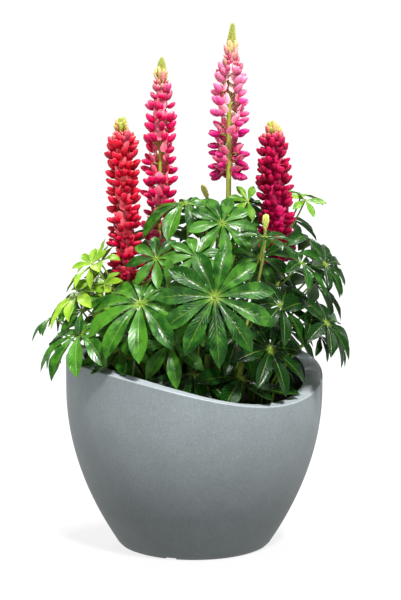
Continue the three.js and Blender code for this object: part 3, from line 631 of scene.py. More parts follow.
@dataclass(frozen=True)
class GreenTissue(Finish):
    """Soft green stem, calyx or bud with silky down: no gloss, a pale sheen where the hairs catch the light."""

    title: str
    young: str
    grown: str
    flush: str  # colour that creeps in, such as red on a calyx
    streaks: tuple[float, float, float] = (900.0, 900.0, 60.0)  # per metre, across the stem and along it
    shades: tuple[float, float] = (0.82, 1.15)  # how light the darkest and the palest streaks are

    def dress(self, tree: bpy.types.NodeTree, shader: bpy.types.Node) -> None:
        """Blends the young, grown and flushed colours along the age and with fine lengthwise streaks.

        Args:
            tree: The material's node tree.
            shader: Its Principled BSDF.
        """
        place = add_node(tree, "TexCoord").outputs["Object"]
        drawn = add_node(tree, "Mapping", {"Vector": place, "Scale": self.streaks})
        streaks = add_node(tree, "TexNoise", {"Vector": drawn.outputs[0], "Scale": 1.0, "Detail": 2.0})
        age = add_node(tree, "Attribute", attribute_name="age").outputs["Fac"]
        tones = [(0.0, self.young), (0.55, self.grown), (1.0, self.flush)]
        body = add_node(tree, "ValToRGB", {"Fac": age}, tones)
        shaded = limits(From=(0.25, 0.75), To=self.shades)
        value = add_node(tree, "MapRange", {"Value": streaks.outputs["Fac"], **shaded})
        colour = add_node(tree, "HueSaturation", {"Value": value.outputs[0], "Color": body.outputs[0]})
        tree.links.new(colour.outputs[0], shader.inputs["Base Color"])
        relief = add_node(tree, "Bump", {"Height": streaks.outputs["Fac"], "Strength": 0.3, "Distance": 0.0004})
        tree.links.new(relief.outputs[0], shader.inputs["Normal"])
        shader.inputs["Roughness"].default_value = 0.55
        shader.inputs["Sheen Weight"].default_value = 0.12


@dataclass(frozen=True)
class LightTable(Finish):
    """Opal acrylic light table, lit from below, so that shadows on it stay faint."""

    title: str = "opal_acrylic_table"
    surface: str = "#5c5c5c"
    glow: float = 0.84  # of white

    def dress(self, tree: bpy.types.NodeTree, shader: bpy.types.Node) -> None:
        """Makes it matt, with an even glow.

        Args:
            tree: The material's node tree.
            shader: Its Principled BSDF.
        """
        shader.inputs["Base Color"].default_value = linear(self.surface)
        shader.inputs["Roughness"].default_value = 0.9
        shader.inputs["Specular IOR Level"].default_value = 0.0
        shader.inputs["Emission Color"].default_value = linear("#ffffff")
        shader.inputs["Emission Strength"].default_value = self.glow


POT_FINISH = MouldedPolyethylene()
SOIL_FINISH = PottingSoil()
STEM_FINISH = GreenTissue("downy_stem", young="#a8ac34", grown="#8c9a30", flush="#6c7c2a")
CALYX_FINISH = GreenTissue("downy_calyx", young="#b4b458", grown="#8e8a3c", flush="#80443c")
BUD_FINISH = GreenTissue("silky_bud", young="#98a62e", grown="#b2b450", flush="#d0b080")
YOUNG_BUD_FINISH = GreenTissue("green_bud", young="#d4d878", grown="#bcc454", flush="#a0ae44")


# ---------------------------------------------------------------- pot and soil


SOIL_LEVEL = 216.0


@dataclass(frozen=True)
class Pot:
    """The round pot with its flat lip, whose edge dips in a wave, and the drainage grooves under its foot."""

    radius: float = 198.0  # of the upper wall and the lip
    belly_inset: float = 82.0  # how much smaller the wall's radius is at the ground
    belly_top: float = 244.0
    foot_radius: float = 112.0
    foot_edge: float = 6.0
    underside_ring: float = 60.0  # splits the underside into two bands
    rim_height: float = 295.0
    dip: float = 53.3
    dip_azimuth: float = -49.0
    dip_power: float = 3.75
    lip_width: float = 27.5
    lip_depth: float = 40.0
    lip_slope: float = 22.0  # height in which the inner wall leaves the lip
    edge_round: float = 1.8
    edge_guard: float = 1.4  # from a rounded edge to the ring that keeps the face beside it flat
    wall: float = 7.0
    floor: float = 8.0
    inner_foot: float = 35.0  # where the inner wall turns towards the floor
    wave_from: float = 200.0
    wave_full: float = 233.0
    sides: int = 160
    rings: int = 26  # below the wave
    upper_rings: int = 14
    inner_rings: int = 12
    round_steps: int = 4
    groove_count: int = 4
    groove_azimuth: float = -108.0
    groove_width: float = 18.0
    groove_height: float = 3.2
    groove_from: float = 45.0
    groove_to: float = 130.0

    def radius_at(self, z: float) -> float:
        """Returns the outer radius at height z."""
        below = max(self.belly_top - z, 0.0) / self.belly_top
        return self.radius - self.belly_inset * below**2

    def rim_dip(self, azimuth: float) -> float:
        """Returns how far the rim lies below its highest point at an azimuth in radians."""
        near = (1 + math.cos(azimuth - math.radians(self.dip_azimuth))) / 2
        return self.dip * near**self.dip_power

    def wave(self, point: Vector) -> Vector:
        """Moves a point of the turned shape to where the rim's wave takes it.

        Args:
            point: The point, in millimetres.

        Returns:
            The moved point, which keeps its distance from the outer wall.
        """
        share = clamp((point.z - self.wave_from) / (self.wave_full - self.wave_from))
        lowered = point.z - share * self.rim_dip(math.atan2(point.y, point.x))
        radius = math.hypot(point.x, point.y)
        scale = (radius - self.radius_at(point.z) + self.radius_at(lowered)) / radius if radius > 1 else 1.0
        return Vector((point.x * scale, point.y * scale, lowered))

    def rounded(self, corner_r: float, corner_z: float, from_r: float, from_z: float) -> list[tuple[float, float]]:
        """Gives the arc of a rounded outer or inner edge of the lip.

        Args:
            corner_r: Radius of the sharp corner.
            corner_z: Height of the sharp corner.
            from_r: Which way the arc's centre lies in radius, 1 or -1.
            from_z: Which way it lies in height, 1 or -1.

        Returns:
            Points from the upright face to the flat face.
        """
        centre = (corner_r + from_r * self.edge_round, corner_z + from_z * self.edge_round)
        arc = spaced(0.0, 0.5 * math.pi, self.round_steps)
        return [
            (centre[0] - from_r * self.edge_round * math.cos(a), centre[1] - from_z * self.edge_round * math.sin(a))
            for a in arc
        ]

    def inner_heights(self) -> list[float]:
        """Returns the heights of the rings of the inner wall, from the top down."""
        top = self.rim_height - self.lip_depth - self.lip_slope
        return spaced(top, self.inner_foot, self.inner_rings)

    def profile(self) -> list[tuple[float, float]]:
        """Lists the section's corners.

        Returns:
            Pairs of radius and height, from the middle of the underside round to the middle of the floor inside.
        """
        mouth = self.radius - self.lip_width
        guard = self.edge_round + self.edge_guard
        side = spaced(self.foot_edge, self.wave_from, self.rings)
        upper = spaced(self.wave_from, self.rim_height - guard, self.upper_rings)[1:]
        section = [(0.0, 0.0), (self.underside_ring, 0.0), (self.foot_radius, 0.0)]
        # the foot's edge is eased
        section.append((self.foot_radius + 0.6 * self.foot_edge, self.foot_edge / 4))
        section += [(self.radius_at(z), z) for z in side + upper]
        section += self.rounded(self.radius, self.rim_height, -1, -1)
        section += [(self.radius - guard, self.rim_height), (mouth + guard, self.rim_height)]
        section += list(reversed(self.rounded(mouth, self.rim_height, 1, -1)))
        section += [(mouth, self.rim_height - depth) for depth in spaced(guard, self.lip_depth, 4)]
        section += [(self.radius_at(z) - self.wall, z) for z in self.inner_heights()]
        return section + [(self.radius_at(self.floor) - self.wall, self.floor), (0.0, self.floor)]

    def turned(self, section: Sequence[tuple[float, float]], sides: int) -> bmesh.types.BMesh:
        """Spins a section round the upright axis, closes its poles and gives it the wave.

        Args:
            section: Pairs of radius and height, whose first and last radius are 0.
            sides: Steps of the spin.

        Returns:
            The closed mesh in millimetres.
        """
        bm = bmesh.new()
        verts = [bm.verts.new((r, 0.0, z)) for r, z in section]
        edges = [bm.edges.new(pair) for pair in zip(verts, verts[1:])]
        bmesh.ops.spin(bm, geom=verts + edges, axis=UP, cent=(0, 0, 0), angle=2 * math.pi, steps=sides, use_merge=True)
        bmesh.ops.remove_doubles(bm, verts=bm.verts[:], dist=0.01)
        bmesh.ops.recalc_face_normals(bm, faces=bm.faces[:])
        for vert in bm.verts:
            vert.co = self.wave(vert.co)
        return bm

    def cut_grooves(self, piece: bpy.types.Object) -> None:
        """Cuts the drainage grooves out of the foot.

        Args:
            piece: The pot, which keeps its name and its material.
        """
        bm = bmesh.new()
        size = Vector((self.groove_to - self.groove_from, self.groove_width, 2 * self.groove_height))
        middle = Matrix.Translation(((self.groove_from + self.groove_to) / 2, 0, 0))
        for i in range(self.groove_count):
            turn = Matrix.Rotation(math.radians(self.groove_azimuth + i * 360 / self.groove_count), 4, "Z")
            bmesh.ops.create_cube(bm, size=1.0, matrix=turn @ middle @ Matrix.Diagonal(size).to_4x4())
        bmesh.ops.scale(bm, vec=(MM, MM, MM), verts=bm.verts[:])
        cutter = linked("grooves", mesh_of(bm, "grooves"))
        cut = piece.modifiers.new("grooves", "BOOLEAN")
        cut.object = cutter
        cut.operation = "DIFFERENCE"
        cut.solver = "EXACT"
        ready = piece.evaluated_get(bpy.context.evaluated_depsgraph_get())
        solid = bpy.data.meshes.new_from_object(ready)
        piece.modifiers.clear()
        piece.data = solid
        bpy.data.objects.remove(cutter)

    def build(self) -> None:
        """Makes the pot."""
        shell = self.turned(self.profile(), self.sides)
        self.cut_grooves(finish_piece(shell, "pot_moulded", POT_FINISH.material(), "pot_plastic", ["pot"], 35.0))


@dataclass(frozen=True)
class Soil:
    """The potting soil that fills the pot, with crumbs on its uneven top."""

    pot: Pot
    level: float = SOIL_LEVEL
    relief: float = 5.0
    hollow: float = 34.0  # width of the hollows
    clearance: float = 0.3  # from the pot
    wall_heights: tuple[float, ...] = (200.0, 150.0, 110.0, 70.0, 35.0)
    sides: int = 96
    rings: int = 30  # of the top
    crumbs: int = 420
    crumb_sizes: tuple[float, float] = (1.0, 3.6)  # radius
    crumb_lift: float = 0.2  # of a crumb's middle above the soil, as a share of its radius

    def height(self, x: float, y: float) -> float:
        """Gives the height of the soil's top.

        Args:
            x: Place of the point, in millimetres.
            y: Place of the point, in millimetres.

        Returns:
            The height in millimetres.
        """
        wide = perlin.noise(Vector((x, y, 3.0)) / self.hollow)
        fine = perlin.noise(Vector((x, y, 9.0)) / (self.hollow / 5))
        return self.level + self.relief * (0.5 * wide + 0.2 * fine)

    def build(self) -> None:
        """Makes the soil body and the crumbs on it."""
        pot = self.pot
        rim = pot.radius - pot.lip_width - self.clearance
        bottom = pot.floor + self.clearance
        top = [(radius, self.level) for radius in spaced(0.0, rim, self.rings)]
        wall = [(pot.radius_at(z) - pot.wall - self.clearance, z) for z in self.wall_heights]
        base = [(pot.radius_at(pot.floor) - pot.wall - self.clearance, bottom), (0.0, bottom)]
        bm = pot.turned(top + wall + base, self.sides)
        for vert in bm.verts:
            if vert.co.z > pot.wave_from:
                vert.co.z = self.height(vert.co.x, vert.co.y)
        low, high = self.crumb_sizes
        for n in range(self.crumbs):
            radius = (rim - high) * math.sqrt(draw(n + 0.5))
            spot = polar(2 * math.pi * draw(n + 900), radius)
            size = lerp(low, high, draw(n + 1800) ** 2)
            spot.z = self.height(spot.x, spot.y) + self.crumb_lift * size
            shares = (1.0, lerp(0.5, 1.0, draw(n + 50)), lerp(0.4, 0.8, draw(n + 70)))
            shape = Matrix.Diagonal([size * share for share in shares]).to_4x4()
            turn = Matrix.Rotation(math.pi * draw(n + 30), 4, "Z")
            bmesh.ops.create_icosphere(bm, subdivisions=1, radius=1.0, matrix=Matrix.Translation(spot) @ turn @ shape)
        finish_piece(bm, "soil_crumbly", SOIL_FINISH.material(), "potting_soil", ["soil"])


# ---------------------------------------------------------------- flower spikes


# the margin layer says how near a petal's margin a point is, and also carries where painted light and painted shade
# fall
PETAL_LAYERS = ("margin", "banner", "age", "chance")
GOLDEN_ANGLE = math.radians(137.508)  # from one bud of a spiral to the next


class Stage(Enum):
    """How far a flower has come."""

    BUD = "bud"
    OPENING = "opening"
    OPEN = "open"


@dataclass(frozen=True)
class Whorl:
    """One ring of flowers round a stem."""

    number: int
    below: float  # distance below the spike's tip
    opened: float  # how far its flowers have opened, from 0 to 1
    old: float  # how far they have aged since, from 0 to 1

    @property
    def stage(self) -> Stage:
        """The form of its flowers."""
        return Stage.BUD if self.opened < 0.5 else Stage.OPENING if self.opened < 0.85 else Stage.OPEN

    @property
    def age(self) -> float:
        """The age that colours its flowers."""
        return OPEN_AGE * self.opened + (1 - OPEN_AGE) * self.old


@dataclass(frozen=True)
class StemLine:
    """The centre line of a spike's stem, which first swings out of the soil and then leans."""

    root: tuple[float, float]
    low: tuple[float, float, float]  # where the flowers begin
    tip: tuple[float, float, float]
    lean: float = 1.0  # power of the curve above low
    base: float = 222.0  # where the swing begins
    foot: float = 192.0  # in the soil

    @property
    def flowering(self) -> float:
        """The height from the lowest flowers to the tip."""
        return self.tip[2] - self.low[2]

    def at(self, z: float) -> Vector:
        """Follows the line.

        Args:
            z: A height in millimetres.

        Returns:
            The stem's centre there.
        """
        low_x, low_y, low_z = self.low
        if z < low_z:
            t = clamp((z - self.base) / (low_z - self.base))
            eased = t * t * (3 - 2 * t)
            return Vector((lerp(self.root[0], low_x, eased), lerp(self.root[1], low_y, eased), z))
        t = ((z - low_z) / self.flowering) ** self.lean
        return Vector((lerp(low_x, self.tip[0], t), lerp(low_y, self.tip[1], t), z))

    def heights(self, top: float, steps: int) -> list[float]:
        """Returns the heights of a stem's rings, from its foot in the soil up to its top."""
        return [self.foot, *spaced(self.base, top, steps)]


@dataclass(frozen=True)
class Floret:
    """One pea flower of length 1 that points along +X, with its stalk's foot at the origin and its top at +Z."""

    stage: Stage
    segments: int = 8
    rings: int = 5
    # outline of the wings by the angle above their widest line, and how pale they are there: pale margins on the top
    # ridges, which also stand for painted light, and painted shade under the keel and in the crease
    section: tuple[tuple[float, float], ...] = ((-90.0, 0.95), (-45.0, 0.88), (0.0, 1.0), (45.0, 1.16), (90.0, 0.5))
    pale_edges_and_painted_light: tuple[tuple[float, float], ...] = ((-90.0, 0.1), (-45.0, 0.3), (0.0, 0.6), (45.0, 1.0), (90.0, 0.0))

    def pouch(self, bm: bmesh.types.BMesh, margin: bmesh.types.BMLayerItem) -> None:
        """Adds the two wings, which meet in an inflated, pointed pouch with a crease along its top.

        Args:
            bm: The mesh that takes them.
            margin: The layer that says how near the margin a point is, and so where painted light and painted shade
                fall.
        """
        start, width, height, lift = (0.28, 0.105, 0.12, 0.03) if self.stage is Stage.BUD else (0.36, 0.175, 0.18, 0.09)
        turn = Matrix.Rotation(math.pi / 2, 4, "Y")
        ball = bmesh.ops.create_uvsphere(bm, u_segments=self.segments, v_segments=self.rings, radius=1.0, matrix=turn)
        for vert in ball["verts"]:
            x, y, z = vert.co
            t = (x + 1) / 2
            above = math.degrees(math.atan2(z, abs(y)))
            swell = on_line(self.section, above) * lerp(1.1, 0.9, t)
            vert.co = Vector((lerp(start, 1.0, t), y * width * swell, z * height * swell + lift * t**2))
            # the margin layer carries painted light on the top ridges and the tip, and low values, which get painted
            # shade, near the stalk, under the keel and in the crease
            vert[margin] = clamp(0.1 + 0.9 * max(on_line(self.pale_edges_and_painted_light, above) * t, 2 * t - 1.4))

    def banner(self, bm: bmesh.types.BMesh, margin: bmesh.types.BMLayerItem, kind: bmesh.types.BMLayerItem) -> None:
        """Adds the upright petal, whose sides bend back from its middle crease.

        Args:
            bm: The mesh that takes it.
            margin: The layer that says how near the margin a point is; where it is low, near the foot, the petal gets
                painted shade.
            kind: The layer that tells the banner from the wings.
        """
        back, tall, wide = (-0.2, 0.5, 0.3) if self.stage is Stage.OPEN else (-0.32, 0.36, 0.22)
        before = set(bm.faces)
        grid = bmesh.ops.create_grid(bm, x_segments=2, y_segments=3, size=1.0)
        for vert in grid["verts"]:
            u, t = vert.co.x, (vert.co.y + 1) / 2
            half = wide * math.sin(math.pi * (0.14 + 0.7 * t))
            fold = abs(u) * half / wide
            vert.co = Vector((0.42 - back * t - 0.2 * fold, u * half, 0.07 + tall * t - 0.06 * fold))
            # the margin layer is low at the banner's foot, where it meets the wings, and that gets painted shade
            vert[margin] = clamp(max(0.8 * abs(u), t))
            vert[kind] = 1.0
        bmesh.ops.solidify(bm, geom=[f for f in bm.faces if f not in before], thickness=0.015)

    def petals(self) -> bpy.types.Mesh:
        """Makes the coloured petals.

        Returns:
            A pattern mesh.
        """
        bm = layered(*PETAL_LAYERS)
        floats = bm.verts.layers.float
        self.pouch(bm, floats["margin"])
        if self.stage is not Stage.BUD:
            self.banner(bm, floats["margin"], floats["banner"])
        return mesh_of(bm, "petals")

    def calyx(self) -> bpy.types.Mesh:
        """Makes the flower stalk and the two-lipped calyx.

        Returns:
            A pattern mesh.
        """
        bm = layered("age")
        sweep(bm, [Vector((0.0, 0, -0.03)), Vector((0.15, 0, 0.0)), Vector((0.33, 0, 0.01))], [0.03, 0.022, 0.03], 4)
        deep, mouth = (0.3, 0.1) if self.stage is Stage.BUD else (0.2, 0.12)
        turn = Matrix.Translation((0.3 + deep / 2, 0, 0.02)) @ Matrix.Rotation(math.pi / 2, 4, "Y")
        cup = bmesh.ops.create_cone(bm, cap_ends=True, segments=6, radius1=0.05, radius2=mouth, depth=deep, matrix=turn)
        for vert in cup["verts"]:
            # the two lips reach further than the sides
            if vert.co.x > 0.45 and abs(vert.co.z) > 0.07:
                vert.co.x += 0.09
        return mesh_of(bm, "calyx")


def repeat(bm: bmesh.types.BMesh, pattern: bpy.types.Mesh, matrix: Matrix, values: dict[str, float]) -> None:
    """Adds one copy of a pattern mesh.

    Args:
        bm: The mesh that takes it.
        pattern: The pattern.
        matrix: Its place, turn and size.
        values: For each float attribute, its value over the copy.
    """
    before = len(bm.verts)
    bm.from_mesh(pattern)
    bm.verts.ensure_lookup_table()
    fresh = bm.verts[before:]
    bmesh.ops.transform(bm, matrix=matrix, verts=fresh)
    for name, value in values.items():
        layer = bm.verts.layers.float[name]
        for vert in fresh:
            vert[layer] = value


def pour(bm: bmesh.types.BMesh, part: bmesh.types.BMesh) -> None:
    """Moves a small mesh into a large one, which is quicker than adding each copy to the large one.

    Args:
        bm: The large mesh.
        part: The small mesh. It is freed.
    """
    mesh = mesh_of(part, "part")
    bm.from_mesh(mesh)
    bpy.data.meshes.remove(mesh)


def surfaces(*endings: str) -> BVHTree:
    """Gathers the surfaces of pieces made so far.

    Args:
        endings: How the names of those pieces end.

    Returns:
        A tree of their faces, in millimetres.
    """
    points, faces = [], []
    for piece in bpy.context.scene.objects:
        if piece.type == "MESH" and piece.name.endswith(endings):
            start = len(points)
            points.extend(vert.co / MM for vert in piece.data.vertices)
            faces.extend([start + i for i in face.vertices] for face in piece.data.polygons)
    return BVHTree.FromPolygons(points, faces)


@dataclass(frozen=True)
class Spike:
    """One flower spike: its stem, its whorls of flowers, and the cone of closed buds at its tip."""

    name: str
    petal: Petal
    slot: str
    stem: float  # radius of its stem
    line: StemLine
    cone: float  # height of the cone of closed buds
    reach: tuple[tuple[float, float], ...]  # corners of a line that gives its radius by the distance below its tip
    pitch: float  # from one whorl of open flowers to the next
    florets: int  # flowers in a whorl
    rise: float = 40.0  # how far the youngest open flowers point above the level, degrees
    upright: float = 72.0  # the same for the youngest buds
    tumble: float = 34.0  # how much that differs from flower to flower, degrees
    droop: float = 4.0  # how far the oldest flowers point below the level, degrees
    fullness: float = 1.0  # how far the flowers reach, as a share of the reach
    evenness: tuple[float, float] = (0.86, 1.07)  # how far the shortest and the longest do, as shares of that
    lengths: tuple[float, float] = (7.0, 30.0)  # of a flower with its stalk
    scatter: float = 0.3  # how far flowers leave their whorl's level, as a share of the pitch
    crowding: float = 0.45  # how far they leave their even places round the stem, as a share of their distance
    leaning: float = 0.9  # how much the sideways lean of upright petals differs, as a slope
    loose: float = 0.0  # share of flowers that have dropped
    parting: float = 0.0  # the same share among those at the front, where the stem shows
    bud_zone: float = 45.0  # height below the cone in which the flowers open
    bud_pitch: float = 5.0  # from one whorl to the next where that begins
    bud: float = 4.6  # length of a middling closed bud
    # places in a flower of length 1 that have to be clear of leaves, and how clear, as a share of its length
    probes: tuple[tuple[float, float, float], ...] = ((0.45, 0, 0.05), (0.7, 0, 0.05), (0.95, 0, 0.08), (0.6, 0, 0.45))
    room: float = 0.2
    shorter: tuple[float, ...] = (1.0, 0.85, 0.7)  # lengths that are tried near a leaf, as shares
    # old and green near the soil, young and yellow further up, by height
    stem_ages: tuple[tuple[float, float], ...] = ((230.0, 0.9), (530.0, 0.15))
    seed: float = 0.0

    def stem_radius(self, z: float) -> float:
        """Returns the stem's radius, which thins towards the tip."""
        up = clamp((z - self.line.low[2]) / self.line.flowering)
        return self.stem * lerp(0.95, 0.3, up**1.4)

    def build_stem(self) -> None:
        """Makes the stem from its foot in the soil up into the cone of buds."""
        bm = layered("age")
        age = bm.verts.layers.float["age"]
        heights = self.line.heights(self.line.tip[2] - 0.5 * self.cone, 44)
        made = sweep(bm, [self.line.at(z) for z in heights], [self.stem_radius(z) for z in heights], 12)
        for vert in made:
            vert[age] = on_line(self.stem_ages, vert.co.z)
        finish_piece(bm, f"{self.name}_downy_stem", STEM_FINISH.material(), "stem_green", [f"{self.name}_stem"])

    def whorls(self) -> list[Whorl]:
        """Lists the whorls, which are closer together among the buds.

        Returns:
            The whorls from the cone of buds down.
        """
        found = []
        below = self.cone + 2.0
        open_from = self.cone + self.bud_zone
        while below < self.line.flowering - 0.35 * self.pitch:
            opened = clamp((below - self.cone) / self.bud_zone)
            old = clamp((below - open_from) / (self.line.flowering - open_from))
            found.append(Whorl(len(found), below, opened, old))
            below += lerp(self.bud_pitch, self.pitch, opened)
        return found

    def has_dropped(self, seed: float, azimuth: float) -> bool:
        """Tells whether an open flower is missing.

        Args:
            seed: Start of its random draws.
            azimuth: Its side of the stem, in radians.

        Returns:
            True where it is. More are at the front, where the stem shows, and some at the back.
        """
        front = -math.sin(azimuth)
        facing = max(front, 0.0) ** 2 + 0.35 * max(-front, 0.0) ** 2
        return draw(seed + 0.7) < lerp(self.loose, self.parting, facing)

    def fitted(self, leaves: BVHTree, base: Vector, along: Vector, up: Vector, size: float) -> Matrix | None:
        """Shortens a flower where a leaf is in its way.

        Args:
            leaves: Surfaces of the leaves.
            base: The foot of its stalk.
            along: The way it points.
            up: The way its upright petal stands.
            size: Its length.

        Returns:
            Its place, turn and size, or None where it has no room.
        """
        for share in self.shorter:
            matrix = placed(base, along, up, share * size)
            probes = [matrix @ Vector(spot) for spot in self.probes]
            if all(leaves.find_nearest(probe, self.room * share * size)[0] is None for probe in probes):
                return matrix
        return None

    def flower(self, leaves: BVHTree, whorl: Whorl, k: int, seed: float) -> Matrix | None:
        """Works out how flower k of a whorl stands.

        Args:
            leaves: Surfaces of the leaves.
            whorl: The whorl.
            k: The flower's number.
            seed: Start of its random draws.

        Returns:
            Its place, turn and size, or None where it has dropped or has no room.
        """
        azimuth = 2 * math.pi * (k + 0.5 * (whorl.number % 2) + self.crowding * (draw(seed) - 0.5)) / self.florets
        if whorl.opened == 1 and self.has_dropped(seed, azimuth):
            return None
        z = self.line.tip[2] - whorl.below + self.pitch * self.scatter * (draw(seed + 3) - 0.5) * whorl.opened
        level = lerp(self.rise, -self.droop, whorl.old)
        rise = math.radians(lerp(self.upright, level, whorl.opened**0.7) + self.tumble * (draw(seed + 5) - 0.5))
        out = polar(azimuth)
        along = out * math.cos(rise) + UP * math.sin(rise)
        radius = self.stem_radius(z)
        tip_radius = on_line(self.reach, whorl.below) * self.fullness * lerp(*self.evenness, draw(seed + 7))
        size = clamp((tip_radius - radius) / math.cos(rise), *self.lengths)
        base = self.line.at(z) + out * (0.8 * radius) - UP * (size * math.sin(rise) * 0.5)
        lean = out.cross(UP) * (self.leaning * (draw(seed + 11) - 0.5))
        return self.fitted(leaves, base, along, UP + lean, size)

    def build_flowers(self, leaves: BVHTree) -> None:
        """Makes all the flowers, with their petals in one piece and their calyces in another.

        Args:
            leaves: Surfaces of the leaves, which the flowers keep clear of.
        """
        petals = {stage: Floret(stage).petals() for stage in Stage}
        calyces = {stage: Floret(stage).calyx() for stage in Stage}
        petal_bm, calyx_bm = layered(*PETAL_LAYERS), layered("age")
        for whorl in self.whorls():
            petals_here, calyces_here = layered(*PETAL_LAYERS), layered("age")
            for k in range(self.florets):
                seed = self.seed + 31 * whorl.number + k
                matrix = self.flower(leaves, whorl, k, seed)
                if matrix is not None:
                    repeat(petals_here, petals[whorl.stage], matrix, {"age": whorl.age, "chance": draw(seed + 13)})
                    repeat(calyces_here, calyces[whorl.stage], matrix, {"age": whorl.age})
            pour(petal_bm, petals_here)
            pour(calyx_bm, calyces_here)
        for mesh in [*petals.values(), *calyces.values()]:
            bpy.data.meshes.remove(mesh)
        flowers = f"{self.name}_flowers"
        finish_piece(petal_bm, f"{self.name}_petals", self.petal.material(), self.slot, [flowers], 65.0)
        finish_piece(calyx_bm, f"{self.name}_calyces", CALYX_FINISH.material(), "stem_green", (), 60.0)

    def build_tip(self) -> None:
        """Makes the cone of closed buds."""
        bm = bud_cone(self.line, self.cone, self.reach, self.bud, self.seed)
        finish_piece(bm, f"{self.name}_closed_buds", BUD_FINISH.material(), "bud_green", [f"{self.name}_tip"], 80.0)

    def build(self, leaves: BVHTree) -> None:
        """Makes the whole spike.

        Args:
            leaves: Surfaces of the leaves, which the flowers keep clear of.
        """
        self.build_stem()
        self.build_flowers(leaves)
        self.build_tip()


def bud_cone(
    line: StemLine, height: float, girth: Sequence[tuple[float, float]], size: float, seed: float
) -> bmesh.types.BMesh:
    """Covers a cone with small pointed buds, set in a spiral.

    Args:
        line: The centre line of its stem, which ends at the cone's tip.
        height: Height of the cone.
        girth: Corners of a line that gives the outer radius by the distance below the tip.
        size: Length of a middling bud.
        seed: Start of the random draws.

    Returns:
        The cone's mesh in millimetres.
    """
    bm = layered("age")
    age = bm.verts.layers.float["age"]
    tip_z = line.tip[2]
    # a plain core closes the gaps between the buds
    depths = spaced(1.5, height - 0.7, 8)
    core_radii = [0.72 * on_line(girth, depth) for depth in depths]
    core = sweep(bm, [line.at(tip_z - depth) for depth in depths], core_radii, 10)
    for vert in core:
        vert[age] = 0.2
    upright = Matrix.Rotation(math.pi / 2, 4, "Y")
    below, n = size * 0.8, 0
    while below < height + 2:
        radius = on_line(girth, min(below, height))
        share = below / height
        # the youngest are the smallest and point straight up
        length = size * lerp(0.75, 1.35, share)
        rise = math.radians(lerp(84, 58, share))
        out = polar(n * GOLDEN_ANGLE + 0.3 * draw(seed + n))
        along = out * math.cos(rise) + UP * math.sin(rise)
        spot = line.at(tip_z - below) + out * max(radius - 0.42 * length * math.cos(rise) - 1.2, 0.3)
        shape = Matrix.Diagonal((0.55 * length, 0.24 * length, 0.2 * length)).to_4x4()
        matrix = placed(spot, along, out) @ shape @ upright
        ball = bmesh.ops.create_uvsphere(bm, u_segments=6, v_segments=5, radius=1.0, matrix=matrix)
        for vert in ball["verts"]:
            vert[age] = clamp(share * lerp(0.5, 1.0, draw(seed + n + 0.3)))
        # one turn of the spiral holds as many buds as its girth has room for
        below += length * 0.42 * 1.9 / (2 * math.pi * max(radius, 2.0) / (0.42 * length))
        n += 1
    return bm


@dataclass(frozen=True)
class YoungSpike:
    """A spike that is still a small green cone of buds on its stem."""

    name: str
    stem: float  # radius of its stem
    line: StemLine
    girth: float  # largest radius of the cone
    seed: float
    ripeness: float = 1.0  # how much darker than the youngest its buds get, as a share
    bud: float = 7.5  # length of a middling bud

    def build(self) -> None:
        """Makes the stem and the buds as one piece."""
        height = self.line.flowering
        girth = [(height * t, self.girth * math.sin(math.pi * lerp(0.12, 0.8, t))) for t in spaced(0.0, 1.0, 12)]
        bm = bud_cone(self.line, height, girth, self.bud, self.seed)
        age = bm.verts.layers.float["age"]
        for vert in bm.verts:
            vert[age] *= self.ripeness
        heights = self.line.heights(self.line.low[2] + 0.4 * height, 30)
        for vert in sweep(bm, [self.line.at(z) for z in heights], [self.stem * 0.9 for _ in heights], 8):
            vert[age] = 0.8
        finish_piece(bm, f"{self.name}_buds", YOUNG_BUD_FINISH.material(), "bud_green", [self.name], 80.0)


CORAL = Petal(
    "coral_red_petal",
    wings=(
        (0.0, "#bcc454"), (0.09, "#d09c74"), (0.15, "#c8506c"), (0.24, "#c42c44"), (0.36, "#c4142c"), (1.0, "#a80c34"),
    ),
    banners=((0.0, "#ccd078"), (0.1, "#e0a48c"), (0.2, "#e07080"), (0.4, "#e85c64"), (1.0, "#d84058")),
    margin="#fc98a0",
)
RASPBERRY = Petal(
    "raspberry_petal",
    wings=(
        (0.0, "#c0c864"), (0.1, "#d4a480"), (0.18, "#c8507c"), (0.35, "#dc2860"), (0.65, "#c80c50"), (1.0, "#980040"),
    ),
    banners=(
        (0.0, "#ccd078"), (0.12, "#e0b094"), (0.2, "#e080a0"), (0.45, "#f47c98"), (0.7, "#e85c80"), (1.0, "#bc2c60"),
    ),
    margin="#fcb0bc",
)
PINK = Petal(
    "pink_magenta_petal",
    wings=(
        (0.0, "#c4c46c"), (0.12, "#dc8c90"), (0.22, "#d05880"), (0.34, "#f084a8"), (0.62, "#dc3484"), (1.0, "#b80460"),
    ),
    banners=(
        (0.0, "#ccc880"), (0.14, "#e49ca0"), (0.24, "#e8a0a8"), (0.36, "#fcc4c8"), (0.62, "#f47ca0"), (1.0, "#e02c78"),
    ),
    margin="#fcd8e0",
)
CRIMSON = Petal(
    "crimson_petal",
    wings=(
        (0.0, "#bcc454"), (0.09, "#cc9470"), (0.15, "#b83c68"), (0.24, "#ac1444"), (0.36, "#a40434"), (1.0, "#98003c"),
    ),
    banners=((0.0, "#ccd078"), (0.1, "#dca088"), (0.2, "#cc4c7c"), (0.4, "#cc3060"), (1.0, "#c02460")),
    margin="#e46890",
    margin_share=0.6,
)

